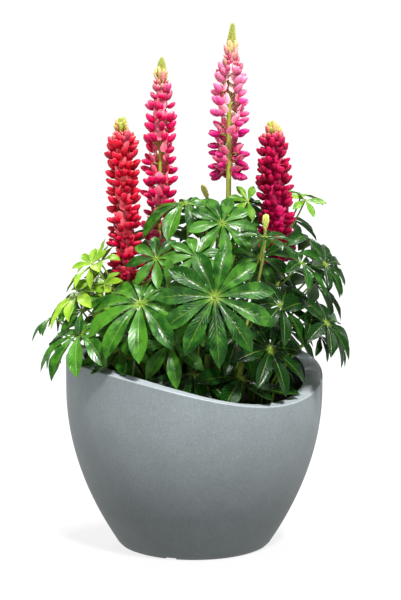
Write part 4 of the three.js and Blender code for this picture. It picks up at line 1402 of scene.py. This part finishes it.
SPIKES = (
    Spike(
        "spike_left", CORAL, "petal_red", 3.8, StemLine((-46, -10), (-99, -30, 396), (-109.5, -30, 660), 0.5), 13,
        ((0, 1), (10, 8), (25, 13), (37, 21), (50, 26), (300, 27)), 13.4, 12, rise=28, droop=-2, scatter=0.7,
        fullness=1.08, loose=0.08, parting=0.2, bud_zone=32, seed=11,
    ),
    Spike(
        "spike_centre_left", RASPBERRY, "petal_coral", 4.0, StemLine((-30, 26), (-57, 40, 398), (-50, 40, 752.5)), 28,
        ((0, 1), (12, 6.5), (28, 9), (45, 12), (68, 19), (90, 24), (130, 27), (360, 27)), 16.6, 11, rise=28,
        droop=0, scatter=0.4, fullness=1.16, loose=0.2, parting=0.5, bud_zone=40, seed=211,
    ),
    Spike(
        "spike_tall", PINK, "petal_pink", 4.3, StemLine((27, -4), (52.5, 0, 558), (58.5, 0, 802), 3.0), 40,
        ((0, 1), (6, 4), (33, 8.5), (66, 13), (78, 24), (150, 31), (250, 33)), 15.6, 11, rise=34, droop=26,
        fullness=1.14, scatter=0.5, loose=0.16, parting=0.85, bud_zone=38, seed=431,
    ),
    Spike(
        "spike_right", CRIMSON, "petal_crimson", 3.8, StemLine((64, 10), (132, 10, 436), (119.5, 10, 655), 0.45), 15,
        ((0, 1), (10, 7.5), (25, 14), (38, 22), (62, 25), (112, 30), (220, 29)), 13.4, 12, rise=32, droop=-2,
        fullness=1.12, scatter=0.7, loose=0.05, parting=0.2, bud_zone=28, seed=617,
    ),
)

YOUNG_SPIKES = (
    YoungSpike("young_spike_right", 2.3, StemLine((58, -40), (106, -62, 493), (107.5, -60, 517)), 6.0, 5.0),
    YoungSpike("young_spike_back", 2.0, StemLine((8, 44), (20, 50, 533), (11, 50, 556)), 5.5, 77.0, 0.2),
)


# ---------------------------------------------------------------- leaves


class LeafAge(Enum):
    """Which skin a leaf has."""

    GROWN = LeafSkin(
        "leaf_waxy_green",
        deep="#0a2c08",
        blade="#1a4a0f",
        bright="#447e1e",
        rib="#8aa23c",
        under="#42682e",
        stalk="#6b8a2c",
    )
    YOUNG = LeafSkin(
        "leaf_young_yellow_green",
        deep="#477c1a",
        blade="#6c9c22",
        bright="#92b832",
        rib="#b4c854",
        under="#7c9c3c",
        stalk="#8aa236",
    )

    @property
    def slot(self) -> str:
        """The record's material slot."""
        return "leaf_green" if self is LeafAge.GROWN else "leaf_young"


YOUNG = LeafAge.YOUNG


@dataclass(frozen=True)
class Bend:
    """How much a leaflet is bent and shortened to find room."""

    reach: float
    sag: float


SAGS = (0.0, 0.2, -0.2, 0.4, -0.4, 0.65, -0.65, 0.95, -0.95)
FULL_BENDS = tuple(Bend(1.0, sag) for sag in SAGS)
SHORT_BENDS = tuple(Bend(reach, sag) for reach in (0.85, 0.7) for sag in SAGS)


@dataclass(frozen=True)
class Midline:
    """The line that a leaflet follows, with its direction at each point and its largest half width."""

    points: tuple[Vector, ...]
    directions: tuple[Vector, ...]
    half_width: float


@dataclass(frozen=True)
class Leaf:
    """One hand-shaped leaf: its stalk, its hub and its leaflets."""

    at: tuple[float, float, float]  # its hub
    face: tuple[float, float]  # azimuth and tilt of the upper side, degrees
    length: float  # of its longest leaflets
    leaflets: int
    sag: float  # how much they hang, from 0 to about 1
    spin: float  # angle of the first one from the way down the leaf, degrees
    foot: tuple[float, float] | None = None  # where its stalk roots, or None for the usual place
    broad: bool = False  # widest nearer the tip
    age: LeafAge = LeafAge.GROWN

    steps: int = 12  # of a leaflet's midline
    match: float = 0.1  # how near the solid leaf's tip is to the tip of a leaflet with the same bend
    hub_share: float = 0.07  # how far from the hub's middle leaflets start, as a share of the length
    thickness: float = 0.45
    fold: float = 0.46  # how far a leaflet's margins rise above its rib, as a share of its half width
    waviness: float = 0.07  # how far its margin's waves rise, as a share of its half width
    waves: float = 2.6  # along a margin
    soil: float = SOIL_LEVEL
    buried: float = 24.0  # length of stalk in the soil
    stalk_steps: int = 20
    stalk_radii: tuple[float, float] = (1.35, 1.95)  # under the hub and where it is thickest
    stalk_taper: int = 12  # steps of the stalk between those
    # distance of the usual foot from the middle of the pot, by the hub's height
    foot_radii: tuple[tuple[float, float], ...] = ((290.0, 104.0), (520.0, 34.0))

    @property
    def normal(self) -> Vector:
        """The direction that the leaf's upper side faces."""
        azimuth, tilt = (math.radians(angle) for angle in self.face)
        return Vector((math.sin(tilt) * math.cos(azimuth), math.sin(tilt) * math.sin(azimuth), math.cos(tilt)))

    @property
    def slope(self) -> Vector:
        """The direction straight down the leaf's upper side."""
        azimuth, tilt = (math.radians(angle) for angle in self.face)
        return Vector((math.cos(tilt) * math.cos(azimuth), math.cos(tilt) * math.sin(azimuth), -math.sin(tilt)))

    @property
    def hub_radius(self) -> float:
        """Radius of the small knob where the leaflets meet."""
        return 0.028 * self.length + 0.5

    def direction(self, angle: float) -> Vector:
        """Returns the direction in the leaf's plane at an angle in degrees from its slope."""
        across = self.normal.cross(self.slope)
        return self.slope * math.cos(math.radians(angle)) + across * math.sin(math.radians(angle))

    @property
    def shade(self) -> float:
        """How light the leaf is: lighter on the left and high up and darker on the right and low down, which is partly
        the age of low, old leaves and partly painted light and painted shade, and a little different from leaf to leaf.
        """
        x, y, z = self.at
        return clamp(0.25 - x / 350 + (z - 390) / 500 + 0.5 * (draw(x + 2 * y) - 0.5), -0.5, 0.6) - 0.15

    def midline(self, k: int, bend: Bend) -> Midline:
        """Works out the line of leaflet k from the hub's rim to its tip.

        Args:
            k: The leaflet's number.
            bend: How it is bent.

        Returns:
            The midline.
        """
        angle = self.spin + 360 * k / self.leaflets
        out = self.direction(angle)
        # leaflets that point up the slope are shorter, and each differs a little
        length = self.length * bend.reach * (0.88 + 0.12 * math.cos(math.radians(angle)))
        length *= 1 + 0.1 * (draw(self.at[0] + 3 * k) - 0.5)
        hub = Vector(self.at)
        points = [hub + out * (self.hub_share * self.length)]
        directions = [out]
        for i in range(self.steps):
            pull = 1.6 * (self.sag + bend.sag) * (i + 0.5) / self.steps
            along = (out + self.normal * (0.15 - 0.6 * pull) - UP * (0.4 * pull)).normalized()
            points.append(points[-1] + along * (length / self.steps))
            directions.append(along)
        # the more leaflets there are, the narrower they are
        half = self.length * min(0.165, 1.6 / self.leaflets)
        return Midline((hub + out * 0.8, *points), (out, *directions), half)

    def settled(self, node: str) -> list[Bend | None]:
        """Finds the bend of each leaflet of the solid leaf, by where its tips are.

        Args:
            node: Name of the leaf's CAD node.

        Returns:
            A bend for each leaflet, or None where the leaf has none there.
        """
        tree = point_tree([vert.co / MM for vert in frame["nodes"][node].data.vertices])
        found = []
        for k in range(self.leaflets):
            fits = (b for b in FULL_BENDS + SHORT_BENDS if tree.find(self.midline(k, b).points[-1])[2] < self.match)
            found.append(next(fits, None))
        return found

    def width(self, t: float) -> float:
        """Gives the outline of a leaflet.

        Args:
            t: A share of its length.

        Returns:
            Its width there, as a share of its largest width.
        """
        widest = 9 / 13 if self.broad else 8 / 13
        if t < widest:
            return 0.06 + 0.94 * math.sin(0.5 * math.pi * (t / widest) ** 1.5)
        return 1 - ((t - widest) / (1 - widest)) ** 1.75

    def add_leaflet(self, bm: bmesh.types.BMesh, k: int, bend: Bend, tone: bmesh.types.BMLayerItem) -> None:
        """Shapes a grid into leaflet k: folded along its rib, with a wavy margin.

        Args:
            bm: The mesh that takes it.
            k: The leaflet's number.
            bend: How it is bent.
            tone: The layer that holds how light each leaflet is.
        """
        line = self.midline(k, bend)
        seed = self.at[1] + 7 * k
        wave = self.waviness * lerp(0.4, 1.3, draw(seed)) * line.half_width
        phase = 2 * math.pi * draw(seed + 2)
        roll = math.radians(16 * (draw(seed + 4) - 0.5))
        last = len(line.points) - 2
        grid = bmesh.ops.create_grid(bm, x_segments=4, y_segments=9, size=1.0, calc_uvs=True)
        for vert in grid["verts"]:
            u, t = -vert.co.x, clamp((vert.co.y + 1) / 2)
            i = min(int(t * (last + 1)), last)
            f = t * (last + 1) - i
            centre = line.points[i].lerp(line.points[i + 1], f)
            along = line.directions[i].lerp(line.directions[i + 1], f).normalized()
            over = (self.normal - along * self.normal.dot(along)).normalized()
            left = over.cross(along)
            half = line.half_width * self.width(t)
            turn = roll * t
            reach = u * half
            rise = self.fold * half * abs(u) ** 1.1 - 0.1 * half * u**4
            rise += wave * u * u * math.sin(2 * math.pi * self.waves * t + phase + (1.3 if u > 0 else 0))
            side = reach * math.cos(turn) - rise * math.sin(turn)
            lift = reach * math.sin(turn) + rise * math.cos(turn)
            vert.co = centre + left * side + over * lift
            vert[tone] = self.shade + 0.5 * (draw(seed + 9) - 0.5)

    def outline(self, k: int, bend: Bend) -> list[Vector]:
        """Lists points along a leaflet's rib and both its margins.

        Args:
            k: The leaflet's number.
            bend: How it is bent.

        Returns:
            The points in millimetres.
        """
        line = self.midline(k, bend)
        found = []
        for i, (point, along) in enumerate(zip(line.points[2:], line.directions[2:]), 2):
            left = self.normal.cross(along).normalized() * (line.half_width * self.width(i / (len(line.points) - 1)))
            found += [point, point + left, point - left]
        return found

    def stalk_path(self) -> list[Vector]:
        """Works out the stalk's centre line.

        Returns:
            Its points, from under the hub down to its foot in the soil.
        """
        hub = Vector(self.at)
        x, y = self.foot or self.default_foot()
        rise = hub.z - self.soil
        curve = interpolate_bezier(
            hub - self.normal * 0.6,
            hub - self.normal * (10 + 0.22 * rise),
            Vector((x, y, self.soil + 0.5 * rise)),
            Vector((x, y, self.soil + 6)),
            self.stalk_steps,
        )
        return [Vector(point) for point in curve] + [Vector((x, y, self.soil - self.buried))]

    def default_foot(self) -> tuple[float, float]:
        """Finds where the stalk roots: high leaves near the middle of the pot and low ones further out.

        Returns:
            The foot's x and y.
        """
        distance = math.hypot(self.at[0], self.at[1])
        radius = min(on_line(self.foot_radii, self.at[2]), 0.72 * distance)
        return self.at[0] * radius / distance, self.at[1] * radius / distance

    def shape(self, bm: bmesh.types.BMesh, bends: Sequence[Bend | None]) -> None:
        """Adds the leaf's leaflets, stalk and hub to a mesh that has the leaf layers.

        Args:
            bm: The mesh that takes them.
            bends: A bend for each leaflet, or None for one that is missing.
        """
        floats = bm.verts.layers.float
        older = set(bm.faces)
        for k, bend in enumerate(bends):
            if bend:
                self.add_leaflet(bm, k, bend, floats["tone"])
        blades = [face for face in bm.faces if face not in older]
        upper = set(bm.verts)
        bmesh.ops.solidify(bm, geom=blades, thickness=self.thickness)
        for vert in bm.verts:
            if vert not in upper:
                vert[floats["under"]] = 1.0
        path = self.stalk_path()
        made = sweep(bm, path, [lerp(*self.stalk_radii, clamp(i / self.stalk_taper)) for i in range(len(path))], 8)
        knob = Matrix.Translation(Vector(self.at) - self.normal * 0.2) @ Matrix.Scale(self.hub_radius, 4)
        made += bmesh.ops.create_uvsphere(bm, u_segments=8, v_segments=6, radius=1.0, matrix=knob)["verts"]
        for vert in made:
            vert[floats["stalk"]] = 1.0

    def build(self, number: int) -> None:
        """Makes the leaf as a piece.

        Args:
            number: The number in the name of the CAD node that it stands for.
        """
        node = f"leaf_{number:02d}"
        bm = leaf_mesh()
        self.shape(bm, self.settled(node))
        finish_piece(bm, f"{node}_blades", self.age.value.material(), self.age.slot, [node], 60.0)


def leaf_mesh() -> bmesh.types.BMesh:
    """Starts a mesh for leaves.

    Returns:
        An empty mesh with the layers that a leaf needs.
    """
    bm = layered("tone", "under", "stalk")
    bm.loops.layers.uv.new("blade")
    return bm


@dataclass(frozen=True)
class Zone:
    """A part of the clump where fill leaves are drawn, round an upright line."""

    middle: tuple[float, float]
    radii: tuple[float, float]  # nearest and furthest from that line
    heights: tuple[float, float]
    lengths: tuple[float, float]
    tilts: tuple[float, float]
    count: int  # leaves wanted
    tries: int
    age: LeafAge = LeafAge.GROWN
    facing: tuple[float, float] | None = None  # azimuths that they face, degrees, or None where they face outwards
    crown: float = 1.0  # height of the leaves furthest out, as a share of the heights
    turning: float = 60.0  # how much the ways differ that they face outwards, degrees
    sags: tuple[float, float] = (0.3, 0.8)
    leaflets: int = 8

    def candidate(self, n: int) -> Leaf:
        """Draws leaf number n.

        Args:
            n: The draw's number.

        Returns:
            The leaf, which may not find room.
        """
        azimuth = 2 * math.pi * draw(n + 0.11)
        share = math.sqrt(draw(n + 0.37))
        height = lerp(*self.heights, draw(n + 0.53) * lerp(1.0, self.crown, share))
        at = polar(azimuth, lerp(*self.radii, share), height) + Vector((*self.middle, 0.0))
        turned = math.degrees(azimuth) + self.turning * (draw(n + 0.71) - 0.5)
        if self.facing:
            turned = lerp(*self.facing, draw(n + 0.71))
        return Leaf(
            tuple(at),
            (turned, lerp(*self.tilts, draw(n + 0.83))),
            lerp(*self.lengths, draw(n + 0.97)),
            self.leaflets,
            lerp(*self.sags, draw(n + 1.09)),
            360 / self.leaflets * draw(n + 1.21),
            age=self.age,
        )


@dataclass(frozen=True)
class FillLeaves:
    """The other leaves of the clump: some set at its edge, and smaller, shaded ones that fill its inside."""

    edge: tuple[Leaf, ...]
    zones: tuple[Zone, ...] = (
        Zone((15.0, -75.0), (5.0, 75.0), (335.0, 430.0), (40.0, 58.0), (45.0, 70.0), 8, 70, facing=(-115.0, -65.0)),
        Zone((110.0, 5.0), (5.0, 60.0), (400.0, 500.0), (38.0, 54.0), (35.0, 65.0), 6, 50, facing=(-95.0, -20.0)),
        Zone((-130.0, -56.0), (5.0, 28.0), (380.0, 442.0), (30.0, 40.0), (35.0, 60.0), 4, 50, YOUNG, (-140.0, -95.0)),
        Zone((0.0, 0.0), (25.0, 150.0), (262.0, 480.0), (44.0, 66.0), (15.0, 55.0), 26, 150, crown=0.45),
    )
    clearance: float = 1.6  # from other pieces
    own_clearance: float = 5.0  # of a leaflet from the fill leaves already placed
    stalk_clearance: float = 4.0  # of a stalk from those
    fewest: int = 4  # leaflets that a leaf needs, to be worth its stalk
    shifts: int = 24  # other places that are tried for a leaf at the edge
    shift_turn: float = 2.4  # radians from one of them to the next
    hub_shift: float = 9.0
    foot_shift: float = 26.0

    def has_room(self, points: Iterable[Vector], around: BVHTree, own: KDTree, room: float) -> bool:
        """Tells whether points keep clear of other pieces and of the leaves already placed.

        Args:
            points: The points.
            around: Surfaces of the other pieces.
            own: Points of the fill leaves already placed.
            room: The distance to keep from those.

        Returns:
            True where all of them do.
        """
        # the fill leaves stay in the box of the solids
        low, high = (Vector(corner) / MM for corner in CAD_BOX)
        return all(
            all(low[i] < point[i] < high[i] for i in range(3))
            and own.find(point)[2] > room
            and around.find_nearest(point, self.clearance)[0] is None
            for point in points
        )

    def fitted(self, leaf: Leaf, around: BVHTree, own: KDTree) -> list[Bend | None]:
        """Bends each leaflet of a leaf clear of what is there.

        Args:
            leaf: The leaf.
            around: Surfaces of the other pieces.
            own: Points of the fill leaves already placed.

        Returns:
            A bend for each leaflet, or None for one that finds no room.
        """
        found = []
        for k in range(leaf.leaflets):
            fits = (b for b in FULL_BENDS if self.has_room(leaf.outline(k, b), around, own, self.own_clearance))
            found.append(next(fits, None))
        return found

    def nearby(self, leaf: Leaf) -> Iterable[Leaf]:
        """Gives a leaf, and then the same leaf with its hub and its foot moved a little.

        Args:
            leaf: The leaf.

        Returns:
            Leaves to try, in order.
        """
        yield leaf
        foot = Vector((*(leaf.foot or leaf.default_foot()), 0.0))
        for n in range(self.shifts):
            turn = self.shift_turn * n
            hub = Vector(leaf.at) + polar(turn, self.hub_shift * draw(n + 0.2), self.hub_shift * (draw(n + 0.4) - 0.5))
            moved = foot + polar(turn + 1.0, self.foot_shift * draw(n + 0.6))
            yield replace(leaf, at=tuple(hub), foot=(moved.x, moved.y))

    def place(self, leaves: Iterable[Leaf], wanted: int, meshes: dict, around: BVHTree, taken: list[Vector]) -> int:
        """Adds the leaves that find room, until there are enough.

        Args:
            leaves: The leaves to try, in order.
            wanted: How many are enough.
            meshes: The mesh for each age of leaf.
            around: Surfaces of the other pieces.
            taken: Points of the fill leaves already placed, which grows.

        Returns:
            How many were added.
        """
        added = 0
        own = point_tree(taken)
        for leaf in leaves:
            if added == wanted:
                break
            stalk = leaf.stalk_path()[:-2]
            if not self.has_room(stalk[2:], around, own, self.stalk_clearance):
                continue
            bends = self.fitted(leaf, around, own)
            if sum(bend is not None for bend in bends) < self.fewest:
                continue
            leaf.shape(meshes[leaf.age], bends)
            taken.extend(stalk)
            for k, bend in enumerate(bends):
                taken.extend(leaf.outline(k, bend) if bend else ())
            own = point_tree(taken)
            added += 1
        return added

    def build(self) -> None:
        """Makes the grown fill leaves as one piece and the young ones as another."""
        around = surfaces("_blades", "_stem", "_petals", "_buds", "_moulded")
        meshes = {age: leaf_mesh() for age in LeafAge}
        taken = [Vector((0.0, 0.0, -1000.0))]  # far from everything, since a tree needs a point
        for leaf in self.edge:
            log.info("edge leaf at %s: %d placed", leaf.at, self.place(self.nearby(leaf), 1, meshes, around, taken))
        for zone in self.zones:
            drawn = (zone.candidate(n) for n in range(zone.tries))
            log.info("fill leaves round %s: %d", zone.middle, self.place(drawn, zone.count, meshes, around, taken))
        for age, name in ((LeafAge.GROWN, "leaves_fill_blades"), (LeafAge.YOUNG, "leaves_fill_young_blades")):
            finish_piece(meshes[age], name, age.value.material(), age.slot, (), 60.0)


LEAVES = (
    Leaf((30, -150, 401), (-88, 68), 95, 11, 0.35, 3, broad=True),
    Leaf((-78, -138, 390), (-105, 40), 92, 10, 0.7, 10, broad=True),
    Leaf((-168, -118, 343), (-140, 32), 80, 9, 0.85, 0, broad=True),
    Leaf((-147, -48, 439), (172, 30), 62, 8, 0.6, 15, foot=(-70, -24), age=YOUNG),
    Leaf((-176, -66, 392), (-160, 35), 58, 8, 0.6, 5, foot=(-78, -42), age=YOUNG),
    Leaf((-214, -14, 356), (178, 32), 50, 7, 0.7, 12),
    Leaf((-14, -14, 528), (-115, 16), 82, 9, 1, 0, broad=True),
    Leaf((42, -62, 502), (-80, 55), 60, 9, 0.3, 0, broad=True),
    Leaf((-56, -92, 452), (-100, 58), 50, 8, 0.4, 10),
    Leaf((-2, -96, 281), (-70, 36), 86, 10, 0.4, 0, broad=True),
    Leaf((71, -76, 270), (-45, 34), 92, 9, 0.3, 20, broad=True),
    Leaf((177, -62, 376), (-15, 42), 88, 9, 0.8, 5, broad=True),
    Leaf((160, -70, 443), (-25, 42), 58, 8, 0.5, 0),
    Leaf((167, 60, 538), (20, 15), 42, 6, 0.4, 10, foot=(46, 22), age=YOUNG),
    Leaf((180, 26, 470), (0, 34), 74, 8, 0.9, 8),
    Leaf((128, -112, 384), (-45, 50), 68, 9, 0.6, 14),
    Leaf((104, -92, 484), (-60, 14), 50, 7, 0.3, 0),
    Leaf((84, 36, 526), (60, 25), 52, 8, 0.5, 0),
    Leaf((146, 92, 500), (40, 30), 58, 8, 0.5, 18),
    Leaf((-112, -108, 318), (-130, 52), 62, 8, 0.5, 0, foot=(-64, -72)),
    Leaf((-34, -122, 330), (-95, 62), 66, 8, 0.4, 10),
    Leaf((66, -66, 332), (-65, 50), 72, 9, 0.4, 5),
    Leaf((112, -120, 320), (-50, 55), 74, 8, 0.5, 0, foot=(102, -58)),
    Leaf((2, -100, 456), (-92, 45), 52, 8, 0.4, 12),
    Leaf((-14, 150, 404), (95, 60), 86, 10, 0.4, 0, broad=True),
    Leaf((-104, 118, 412), (130, 44), 80, 9, 0.6, 8, broad=True),
    Leaf((82, 140, 420), (62, 48), 80, 9, 0.6, 4),
    Leaf((-178, 44, 384), (160, 42), 74, 9, 0.7, 0),
    Leaf((188, 76, 398), (22, 45), 74, 8, 0.7, 12, foot=(70, 40)),
    Leaf((-60, 106, 474), (112, 30), 62, 8, 0.5, 6, foot=(-26, 70)),
    Leaf((14, 104, 496), (85, 42), 62, 8, 0.5, 0, foot=(12, 62)),
    Leaf((-58, 158, 318), (110, 56), 76, 8, 0.5, 10),
    Leaf((56, 164, 322), (70, 58), 76, 8, 0.5, 0),
    Leaf((148, 120, 318), (40, 54), 72, 8, 0.6, 7),
    Leaf((-146, 104, 336), (142, 52), 72, 8, 0.6, 3),
    Leaf((206, 2, 334), (0, 52), 66, 8, 0.7, 10),
    Leaf((-196, -70, 336), (-162, 50), 54, 7, 0.7, 0),
    Leaf((44, 68, 506), (80, 20), 54, 7, 0.6, 15, foot=(24, 40)),
    Leaf((104, 72, 436), (30, 30), 60, 8, 0.5, 0),
    Leaf((-96, 6, 330), (-170, 25), 70, 8, 0.4, 9),
    Leaf((-16, 58, 404), (-60, 20), 74, 9, 0.5, 0, foot=(-22, 46)),
    Leaf((94, 30, 330), (10, 30), 72, 8, 0.4, 14),
)

# leaves at the clump's edge, which have no CAD node of their own
EDGE_LEAVES = (
    Leaf((-152, -74, 442), (-118, 52), 36, 8, 0.3, 10, foot=(-66, -52), age=YOUNG),
    Leaf((-140, -40, 452), (-150, 40), 38, 7, 0.3, 20, foot=(-80, -14), age=YOUNG),
    Leaf((-164, -94, 372), (-115, 50), 44, 8, 0.5, 15, foot=(-84, -60)),
    Leaf((-150, -30, 400), (-135, 45), 42, 7, 0.4, 8, foot=(-84, 4), age=YOUNG),
    Leaf((38, -34, 512), (-85, 62), 38, 8, 0.1, 18, foot=(30, -30)),
    Leaf((84, -6, 532), (-75, 52), 38, 7, 0.2, 0, foot=(52, 16), age=YOUNG),
    Leaf((172, 34, 532), (-75, 48), 34, 6, 0.2, 10, foot=(70, 30), age=YOUNG),
    Leaf((198, -34, 438), (-40, 52), 54, 8, 0.5, 8, foot=(84, -10)),
    Leaf((204, 26, 424), (-30, 48), 44, 8, 0.6, 0, foot=(92, 8)),
    Leaf((196, -96, 356), (-35, 46), 62, 8, 0.6, 10, foot=(118, -52)),
    Leaf((188, -70, 334), (-30, 60), 40, 7, 0.7, 0, foot=(112, -36)),
)


# ---------------------------------------------------------------- studio


@dataclass(frozen=True)
class SoftLight:
    """A distant soft light that falls everywhere with the same strength."""

    name: str
    azimuth: float  # degrees
    elevation: float  # degrees
    spread: float  # degrees across, as seen from the plant
    strength: float  # watts for a square metre

    def build(self) -> None:
        """Adds the light."""
        light = bpy.data.lights.new(self.name, "SUN")
        light.angle = math.radians(self.spread)
        light.energy = self.strength
        lamp = linked(self.name, light)
        up = math.radians(self.elevation)
        towards = polar(math.radians(self.azimuth), math.cos(up), math.sin(up))
        lamp.location = towards * 3
        lamp.rotation_euler = (-towards).to_track_quat("-Z", "Y").to_euler()


@dataclass(frozen=True)
class Studio:
    """Pale floor, a bright ceiling above a white horizon, a soft key light, and the camera."""

    distance: float = 2.5  # m
    elevation: float = 6.67  # degrees
    aim: tuple[float, float, float] = (0.0095, 0.0, 0.3792)  # m
    lens: float = 97.42  # mm
    sensor: float = 36.0  # mm
    floor_radius: float = 60.0  # m
    horizon: float = 1.0  # brightness at the horizon, where 1 shows as white
    lights: tuple[SoftLight, ...] = (
        SoftLight("key", -70.0, 54.0, 8.0, 4.6),
        SoftLight("top", 60.0, 76.0, 12.0, 3.0),
        SoftLight("back", 110.0, 40.0, 20.0, 1.4),
    )

    def build_camera(self) -> None:
        """Sets the camera to look down on the plant a little, from the front."""
        data = bpy.data.cameras.new("camera")
        data.sensor_width = self.sensor
        data.lens = self.lens
        camera = linked("camera", data)
        aim = Vector(self.aim)
        tilt = math.radians(self.elevation)
        camera.location = aim + Vector((0, -math.cos(tilt), math.sin(tilt))) * self.distance
        camera.rotation_euler = (aim - camera.location).to_track_quat("-Z", "Y").to_euler()
        bpy.context.scene.camera = camera

    def build_floor(self) -> None:
        """Lays the floor."""
        bm = bmesh.new()
        bmesh.ops.create_circle(bm, cap_ends=True, segments=64, radius=self.floor_radius)
        mesh = mesh_of(bm, "floor")
        mesh.materials.append(LightTable().material())
        floor = linked("floor", mesh)
        floor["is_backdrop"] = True

    def build_room(self) -> None:
        """Makes the light of the room: white at the horizon, dim above it and bright again overhead."""
        world = bpy.data.worlds.new("studio_room")
        world.use_nodes = True
        tree = world.node_tree
        way = add_node(tree, "TexCoord").outputs["Generated"]
        height = add_node(tree, "SeparateXYZ", {0: way}).outputs[2]
        tones = add_node(
            tree,
            "ValToRGB",
            {0: height},
            stops=[(0.0, "#ffffff"), (0.18, "#ffffff"), (0.24, "#707070"), (0.6, "#707070"), (0.8, "#c4c4c4")],
        )
        background = tree.nodes["Background"]
        tree.links.new(tones.outputs[0], background.inputs["Color"])
        background.inputs["Strength"].default_value = self.horizon
        bpy.context.scene.world = world

    def build(self) -> None:
        """Makes the whole studio."""
        self.build_camera()
        self.build_floor()
        self.build_room()
        for light in self.lights:
            light.build()
        bpy.context.scene.view_settings.view_transform = "Standard"


def write_sizes() -> None:
    """Gathers the box of the solids and the box of the dressed part as plain lists of numbers, which are not written
    anywhere.
    """
    boxes = {"cad": CAD_BOX, "visual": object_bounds()}
    plain = {name: [[float(x) for x in corner] for corner in box] for name, box in boxes.items()}


def main() -> None:
    """Builds the studio and every piece of the plant and its pot."""
    logging.basicConfig(level=logging.INFO, format="%(message)s")
    Studio().build()
    pot = Pot()
    pot.build()
    Soil(pot).build()
    for number, leaf in enumerate(LEAVES, 1):
        leaf.build(number)
    leaves = surfaces("_blades")
    for spike in SPIKES:
        spike.build(leaves)
    for young in YOUNG_SPIKES:
        young.build()
    FillLeaves(EDGE_LEAVES).build()
    write_sizes()


if __name__ == "__main__":
    main()
